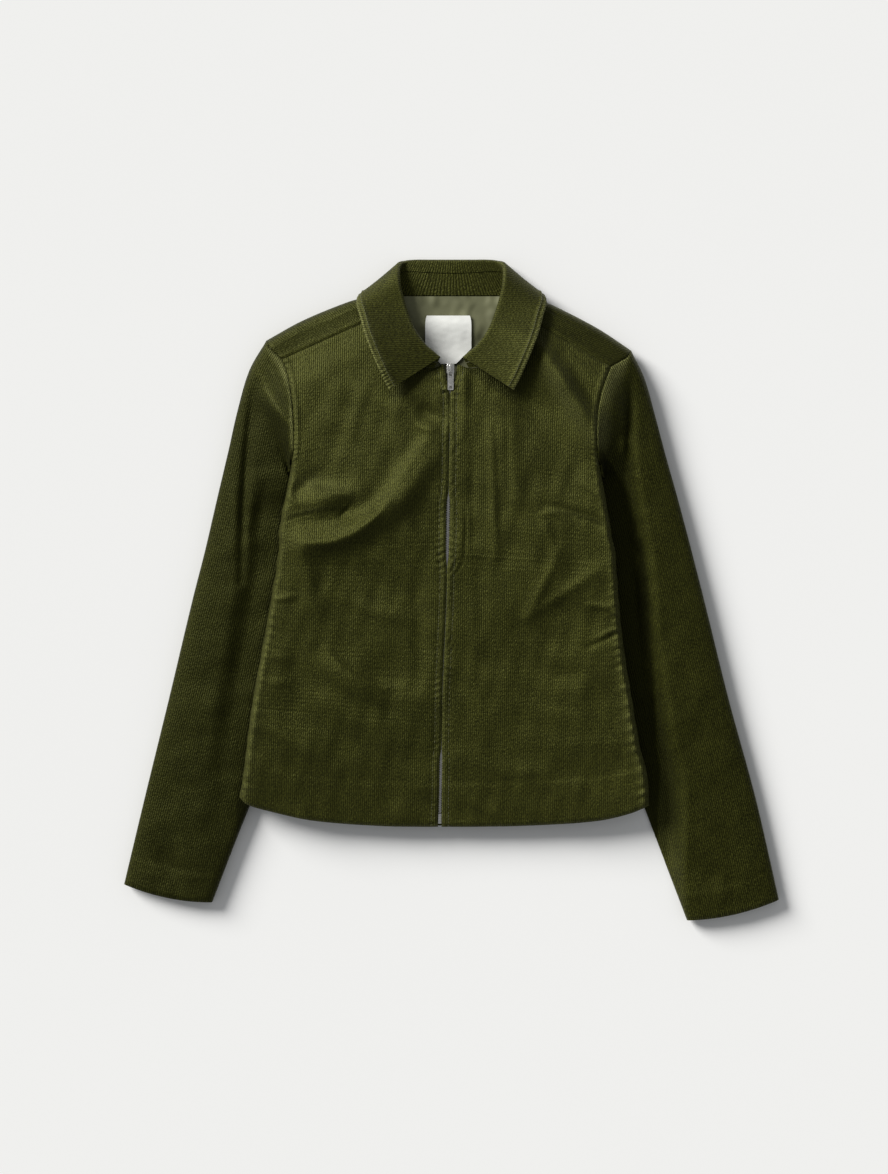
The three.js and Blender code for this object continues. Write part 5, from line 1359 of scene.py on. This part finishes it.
# %% Node group for ribs and nap
RIB_PITCH = 0.00231  # m, eleven ribs to the inch
PAINTED_SHADE_COLOUR = (0.0012, 0.0012, 0.0003, 1)  # painted shade: the dark colour that shaded places are mixed towards
# Crushed: the light colour for nap crushed by wear and for painted highlights.
MAP_AND_VALUES = {
    "Map": ("vector", None), "Place": ("vector", None),
    "Rib Pitch": ("float", RIB_PITCH), "Worn": ("float", 0.0),
    "Groove": ("colour", (0.012, 0.0125, 0.003, 1)), "Nap": ("colour", (0.040, 0.042, 0.009, 1)),
    "Crushed": ("colour", (0.13, 0.135, 0.05, 1)),
}


def ribs_and_nap():
    outputs = {"Color": "colour", "Height": "float", "Roughness": "float"}
    group, start, end = shader_group("ribs_and_nap", MAP_AND_VALUES, outputs)
    g = Graph(group)
    cut = start.outputs["Map"]
    parts = g.add("ShaderNodeSeparateXYZ", Vector=cut)
    sway = g.sum("MULTIPLY", g.sum("SUBTRACT", g.noise(cut, 28.0, 1.0), 0.5), 0.0016)
    stray = g.sum("MULTIPLY", g.sum("SUBTRACT", g.noise(cut, 420.0, 1.0), 0.5), 0.0017)
    across = g.sum("ADD", parts.outputs["X"], g.sum("ADD", sway, stray))
    phase = g.sum("DIVIDE", across, start.outputs["Rib Pitch"])
    swing = g.sum("COSINE", g.sum("MULTIPLY", phase, 2 * math.pi))
    rib = g.sum("ADD", g.sum("MULTIPLY", swing, 0.5), 0.5)
    number = g.sum("FLOOR", g.sum("ADD", phase, 0.5))
    rib_length = g.sum("MULTIPLY", parts.outputs["Y"], 60.0)
    own = g.add("ShaderNodeCombineXYZ", X=g.sum("MULTIPLY", number, 7.31), Y=rib_length)
    streak = g.noise(own.outputs["Vector"], 1.0, 2.0, 0.6)
    fine = g.add("ShaderNodeMapping", Vector=cut, Scale=(1.0, 0.7, 1.0))
    grain = g.noise(fine.outputs["Vector"], 1050.0, 2.0, 0.65)
    clumps = g.noise(fine.outputs["Vector"], 560.0, 1.0, 0.5)
    blotch = g.noise(start.outputs["Place"], 45.0, 3.0, 0.6)
    tone = g.sum("ADD", g.ramp(streak, 0.25, 0.75, -0.2, 0.2), g.ramp(grain, 0.3, 0.7, -0.6, 0.65))
    tone = g.sum("ADD", tone, g.ramp(clumps, 0.32, 0.68, -0.62, 0.75))
    tone = g.sum("ADD", tone, g.ramp(blotch, 0.3, 0.7, -0.24, 0.24))
    body = g.blend(g.sum("POWER", rib, 0.85), start.outputs["Groove"], start.outputs["Nap"])
    around_one = g.sum("ADD", tone, 1.0)
    lit = g.add("ShaderNodeCombineColor", Red=around_one, Green=around_one, Blue=around_one)
    toned = g.blend(1.0, body, lit.outputs["Color"], "MULTIPLY")
    # A positive value mixes towards the light colour where wear crushes the nap and where a painted highlight
    # lies; a negative one mixes towards the painted shade colour.
    speck = g.sum("MULTIPLY", g.ramp(grain, 0.38, 0.72), g.sum("ADD", g.sum("MULTIPLY", rib, 0.85), 0.25))
    crushed = g.sum("MULTIPLY", g.sum("MAXIMUM", start.outputs["Worn"], 0.0), speck)
    shaded = g.blend(g.ramp(start.outputs["Worn"], -1.0, 0.0, 0.88, 0.0), toned, PAINTED_SHADE_COLOUR)
    colour = g.blend(crushed, shaded, start.outputs["Crushed"])
    tufts = g.sum("ADD", g.ramp(grain, 0.2, 0.8, -0.3, 0.3), g.ramp(clumps, 0.2, 0.8, -0.5, 0.5))
    height = g.sum("ADD", g.sum("MULTIPLY", g.sum("POWER", rib, 0.6), 0.8), tufts)
    group.links.new(colour, end.inputs["Color"])
    group.links.new(height, end.inputs["Height"])
    group.links.new(g.ramp(grain, 0.3, 0.7, 0.58, 0.44), end.inputs["Roughness"])
    return group


RIBS = ribs_and_nap()
print(RIBS.name, len(RIBS.nodes), "nodes")

# %% Finish of corduroy
def principled(name):
    material = bpy.data.materials.new(name)
    material.use_nodes = True
    return material, Graph(material.node_tree), material.node_tree.nodes["Principled BSDF"]


def corduroy_finish(name, nap, groove, crushed, depth=0.0005, sheen=0.08, gloss=0.3):
    material, g, shader = principled(name)
    grain = g.add("ShaderNodeUVMap", {"uv_map": "grain"})
    place = g.add("ShaderNodeTexCoord")
    # The attribute carries wear and painted light: crushed nap, painted highlights and painted shade.
    worn = g.add("ShaderNodeAttribute", {"attribute_name": "worn"})
    ribs = g.add(
        "ShaderNodeGroup", {"node_tree": RIBS}, Map=grain.outputs["UV"], Place=place.outputs["Object"],
        Worn=worn.outputs["Fac"], Nap=(*nap, 1), Groove=(*groove, 1), Crushed=(*crushed, 1),
    )
    bump = g.add("ShaderNodeBump", Height=ribs.outputs["Height"], Strength=0.8, Distance=depth)
    links = g.tree.links
    links.new(ribs.outputs["Color"], shader.inputs["Base Color"])
    links.new(ribs.outputs["Roughness"], shader.inputs["Roughness"])
    links.new(bump.outputs["Normal"], shader.inputs["Normal"])
    shader.inputs["Sheen Weight"].default_value = sheen
    shader.inputs["Sheen Roughness"].default_value = 0.4
    shader.inputs["Sheen Tint"].default_value = (0.62, 0.63, 0.3, 1)
    shader.inputs["Specular IOR Level"].default_value = gloss
    shader.inputs["Specular Tint"].default_value = (0.95, 1.0, 0.26, 1)
    return material


# %% Corduroy on its pieces
CORDUROY = corduroy_finish(
    "olive_corduroy", (0.026, 0.027, 0.0046), (0.006, 0.0062, 0.0011), (0.15, 0.155, 0.055)
)
# A darker copy of the corduroy for the sleeves: darker grooves as painted shade, less sheen and gloss, and a
# paler light colour for the sleeves' painted highlights.
SHADED_SLEEVE_CORDUROY = corduroy_finish(
    "olive_corduroy_sleeve_shaded", (0.024, 0.0252, 0.0042), (0.0024, 0.0025, 0.0004), (0.2, 0.205, 0.08),
    sheen=0.05, gloss=0.2,
)
# The collar's copy has a paler light colour, for crushed nap and painted highlights along its edges.
COLLAR_CORDUROY = corduroy_finish(
    "olive_corduroy_collar", (0.025, 0.026, 0.0045), (0.004, 0.0041, 0.0007), (0.24, 0.245, 0.095)
)
for finish, pieces in (
    (CORDUROY, (front_right, front_left, back)),
    (COLLAR_CORDUROY, (collar_stand, collar_leaf)),
    (SHADED_SLEEVE_CORDUROY, (sleeve_right, sleeve_left)),
):
    for piece in pieces:
        piece.data.materials.append(finish)
    print(finish.name, "on", len(pieces), "pieces")

# %% [markdown]
# ## The smaller finishes
# The lining is a thin smooth weave that takes the light in soft patches. The label is a dense white weave,
# the tapes a coarser dark one, the thread a shiny twist, and the zip's metal is polished but rubbed. Fine
# noise on the pieces' own coordinates is enough for each of them: at this size a weave is a fine grain in
# colour and in relief.

# %% Finishes from fine noise
def fine_finish(name, scale, dark, light, spread=None, detail=2.0, relief=None, relief_depth=0.0002):
    """A finish whose colour runs from dark to light with fine noise, and its nodes. spread: the part of the
    noise's range that the colour takes. relief: the strength of the bump that the same noise makes."""
    material, g, shader = principled(name)
    noise = g.noise(g.add("ShaderNodeTexCoord").outputs["Object"], scale, detail, 0.6)
    share = g.ramp(noise, *spread) if spread else noise
    g.tree.links.new(g.blend(share, (*dark, 1), (*light, 1)), shader.inputs["Base Color"])
    if relief:
        bump = g.add("ShaderNodeBump", Height=noise, Strength=relief, Distance=relief_depth)
        g.tree.links.new(bump.outputs["Normal"], shader.inputs["Normal"])
    return material, g, shader, noise


lining_finish, g, shader = principled("smooth_lining")
place = g.add("ShaderNodeTexCoord").outputs["Object"]
patches = g.ramp(g.noise(place, 45.0, 2.0, 0.5), 0.3, 0.7)
colour = g.blend(patches, (0.115, 0.118, 0.056, 1), (0.15, 0.153, 0.076, 1))
bump = g.add("ShaderNodeBump", Height=g.noise(place, 900.0, 2.0, 0.6), Strength=0.3, Distance=0.0002)
g.tree.links.new(colour, shader.inputs["Base Color"])
g.tree.links.new(bump.outputs["Normal"], shader.inputs["Normal"])
shader.inputs["Roughness"].default_value = 0.7
lining.data.materials.append(lining_finish)

label_finish, _, shader, _ = fine_finish(
    "blank_label_cloth", 1400.0, (0.89, 0.895, 0.85), (0.95, 0.955, 0.92), spread=(0.3, 0.7), relief=0.25
)
shader.inputs["Roughness"].default_value = 0.85
label.data.materials.append(label_finish)

tape_finish, _, shader, _ = fine_finish(
    "zip_tape_weave", 1600.0, (0.012, 0.0125, 0.005), (0.03, 0.031, 0.012), relief=0.4
)
shader.inputs["Roughness"].default_value = 0.9
for piece in (tape_right, tape_left):
    piece.data.materials.append(tape_finish)
print("lining, label and tapes finished")

# %% Thread and metal
thread_finish, _, shader, _ = fine_finish(
    "olive_thread", 2500.0, (0.05, 0.052, 0.014), (0.10, 0.105, 0.035), detail=1.0
)
shader.inputs["Roughness"].default_value = 0.6
shader.inputs["Sheen Weight"].default_value = 0.2

metal_finish, g, shader, rubbed = fine_finish(
    "zip_metal", 700.0, (0.5, 0.49, 0.46), (0.78, 0.77, 0.74), detail=3.0, relief=0.15, relief_depth=0.0001
)
g.tree.links.new(g.ramp(rubbed, 0.3, 0.7, 0.22, 0.42), shader.inputs["Roughness"])
shader.inputs["Metallic"].default_value = 1.0
print("thread and metal defined")

# %% [markdown]
# ## The zip's metal parts
# The slider, its pull and the retaining box are stamped or cast, so their edges are never quite sharp.
# Their solids have the right shapes, but a solid from CAD may not be changed here. So each is copied, its
# triangles are joined into whole faces, its sharp edges are rounded and the pull gets the sunk panel of the
# real one. The copies then stand for the solids.

# %% Rounded copies of the metal solids
def polished(node, name, body, panel, round_off=0.00025):
    """A copy of a metal solid with rounded edges. panel: the rim's width, if its top is sunk inside a rim."""
    work = bmesh.new()
    work.from_mesh(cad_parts[node].data)
    bmesh.ops.remove_doubles(work, verts=work.verts, dist=1e-6)
    bmesh.ops.dissolve_limit(work, angle_limit=math.radians(1), verts=work.verts, edges=work.edges)
    if panel:
        top = max(face.calc_center_median().z for face in work.faces)
        tops = [f for f in work.faces if f.normal.z > 0.99 and f.calc_center_median().z > top - 1e-4]
        bmesh.ops.inset_region(work, faces=tops, thickness=panel, depth=-0.4 * panel, use_even_offset=True)
    bmesh.ops.recalc_face_normals(work, faces=work.faces)
    sharp = [edge for edge in work.edges if edge.is_manifold and edge.calc_face_angle() > math.radians(40)]
    bmesh.ops.bevel(
        work, geom=sharp, offset=round_off, segments=2, affect="EDGES", profile=0.5, clamp_overlap=True
    )
    mesh = bpy.data.meshes.new(name)
    work.to_mesh(mesh)
    work.free()
    mesh.shade_smooth()
    mesh.set_sharp_from_angle(angle=math.radians(35))
    mesh.materials.append(metal_finish)
    piece = bpy.data.objects.new(name, mesh)
    bpy.context.scene.collection.objects.link(piece)
    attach(piece, body)
    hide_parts(node)
    print(name, len(mesh.polygons), "faces")
    return piece


PULL_RIM = 0.0006  # m, around the sunk panel
polished("zip_slider", "zip_slider_metal", "jacket", 0)
polished("zip_pull", "zip_pull_metal", "pull", PULL_RIM)
polished("zip_box", "zip_box_metal", "jacket", 0)
print(len(bpy.data.materials), "materials")

# %% [markdown]
# ## Setting the teeth and the stitches
# The teeth follow the zip's line, a little behind the front edges. Two rows of stitching run beside the zip
# and one along the collar leaf's edge, each on the cloth where its gathers are, so the stitches sit in the
# dips they make.

# %% Teeth
CHAIN = {"from": -244, "to": 236.5}
y = np.linspace(CHAIN["from"], CHAIN["to"], 240)
x = read(ZIP, y)[0]
teeth_path = np.stack([x, y, zip_height(x, y, BEHIND_FRONT) - 0.2], -1)
teeth = grown(path_object("zip_teeth_metal", [teeth_path]), teeth_tree(), {"Material": metal_finish})


# %% Stitches
def front_stitch(half, inset):
    y = np.linspace(HEM_AT_ZIP + 2, NECK_AT_ZIP - 6, 300)
    line, gap = read(ZIP, y)
    x = line + half["sign"] * (gap + inset)
    far = np.full(x.shape, 99.0)
    return np.stack([x, y, front_height(x, y) + front_detail(half, x, y, far, far)[0] + 0.05], -1)


def leaf_stitch():
    s = np.linspace(0.12, 2 * CENTRE_BACK - 0.12, STATIONS)
    points = leaf_patch["points"]
    rows = np.interp(s, np.linspace(0, 2 * CENTRE_BACK, STATIONS), np.arange(STATIONS))
    seam, roll, edge, out, front = collar_sections(s)
    length = np.linalg.norm(edge - roll, axis=1)
    column = points.shape[1] - 1 - FALL_STEPS * LEAF_STITCH / (length - ROLL_RADIUS)
    low, near = np.floor(rows).astype(int), np.floor(column).astype(int)
    line = mix(points[low, near], points[low, near + 1], (column - near)[:, None]) + out * 0.15
    line[:, 2] = np.maximum(line[:, 2], 0.5)
    return line


STITCHES = stitch_tree()
zip_lines = [front_stitch(half, STITCH_INSET) for half in (RIGHT, LEFT)]
zip_stitches = grown(path_object("zip_stitching", zip_lines), STITCHES, {"Material": thread_finish})
collar_line = path_object("collar_stitching", [leaf_stitch()])
collar_stitches = grown(collar_line, STITCHES, {"Material": thread_finish})

# %% [markdown]
# ## The floor
# The jacket lies on a plain pale ground without an edge in view. One large flat face does that. It is wide
# enough for every view and lies a hair under the jacket, so that the two never share a plane.

# %% Floor
FLOOR_REACH, FLOOR_DROP = 4, 0.0004  # m
floor_mesh = bpy.data.meshes.new("floor")
corners = [(FLOOR_REACH * x, FLOOR_REACH * y, -FLOOR_DROP) for x, y in ((-1, -1), (1, -1), (1, 1), (-1, 1))]
floor_mesh.from_pydata(corners, [], [(0, 1, 2, 3)])
floor = bpy.data.objects.new("floor", floor_mesh)
bpy.context.scene.collection.objects.link(floor)
floor_finish, g, shader = principled("pale_floor")
cloud = g.noise(g.add("ShaderNodeTexCoord").outputs["Object"], 3.0, 2.0, 0.5)
pale = g.blend(cloud, (0.897, 0.897, 0.897, 1), (0.907, 0.907, 0.907, 1))
g.tree.links.new(pale, shader.inputs["Base Color"])
shader.inputs["Roughness"].default_value = 0.9
shader.inputs["Specular IOR Level"].default_value = 0.0
floor_mesh.materials.append(floor_finish)
print("floor", 2 * FLOOR_REACH, "m wide")

# %% [markdown]
# ## What each piece stands for
# Each cloth piece stands for its solids, which are hidden. The table gives each piece's slot of the record
# and the size it was cut at: the rectangle is the smallest that the flat piece is cut from, and the area is
# that of the piece itself.

# %% Pieces, cuts and slots
CLOTHS = {  # piece: node, slot, cut width and length in m, area of the cut in m2
    front_right: (["front_right"], "corduroy", (0.235, 0.58), 0.103),
    front_left: (["front_left"], "corduroy", (0.235, 0.58), 0.102),
    back: (["back"], "corduroy", (0.46, 0.62), 0.237),
    sleeve_right: (["sleeve_right_front", "sleeve_right_under"], "corduroy", (0.33, 0.64), 0.142),
    sleeve_left: (["sleeve_left_front", "sleeve_left_under"], "corduroy", (0.33, 0.66), 0.147),
    collar_stand: (["collar_stand"], "corduroy", (0.44, 0.03), 0.0063),
    collar_leaf: (["collar_leaf"], "corduroy", (0.62, 0.075), 0.0293),
    lining: (["back_lining"], "lining", (0.134, 0.122), 0.0159),
    label: (["label"], "label", (0.051, 0.055), 0.0027),
    tape_right: (["zip_tape_right"], "zip_tape", (0.0112, 0.487), 0.0054),
    tape_left: (["zip_tape_left"], "zip_tape", (0.0112, 0.487), 0.0054),
}
for piece, (nodes, slot, flat, area) in CLOTHS.items():
    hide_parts(*nodes)
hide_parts("zip_chain")
print(len(CLOTHS), "sheets of cloth declared")
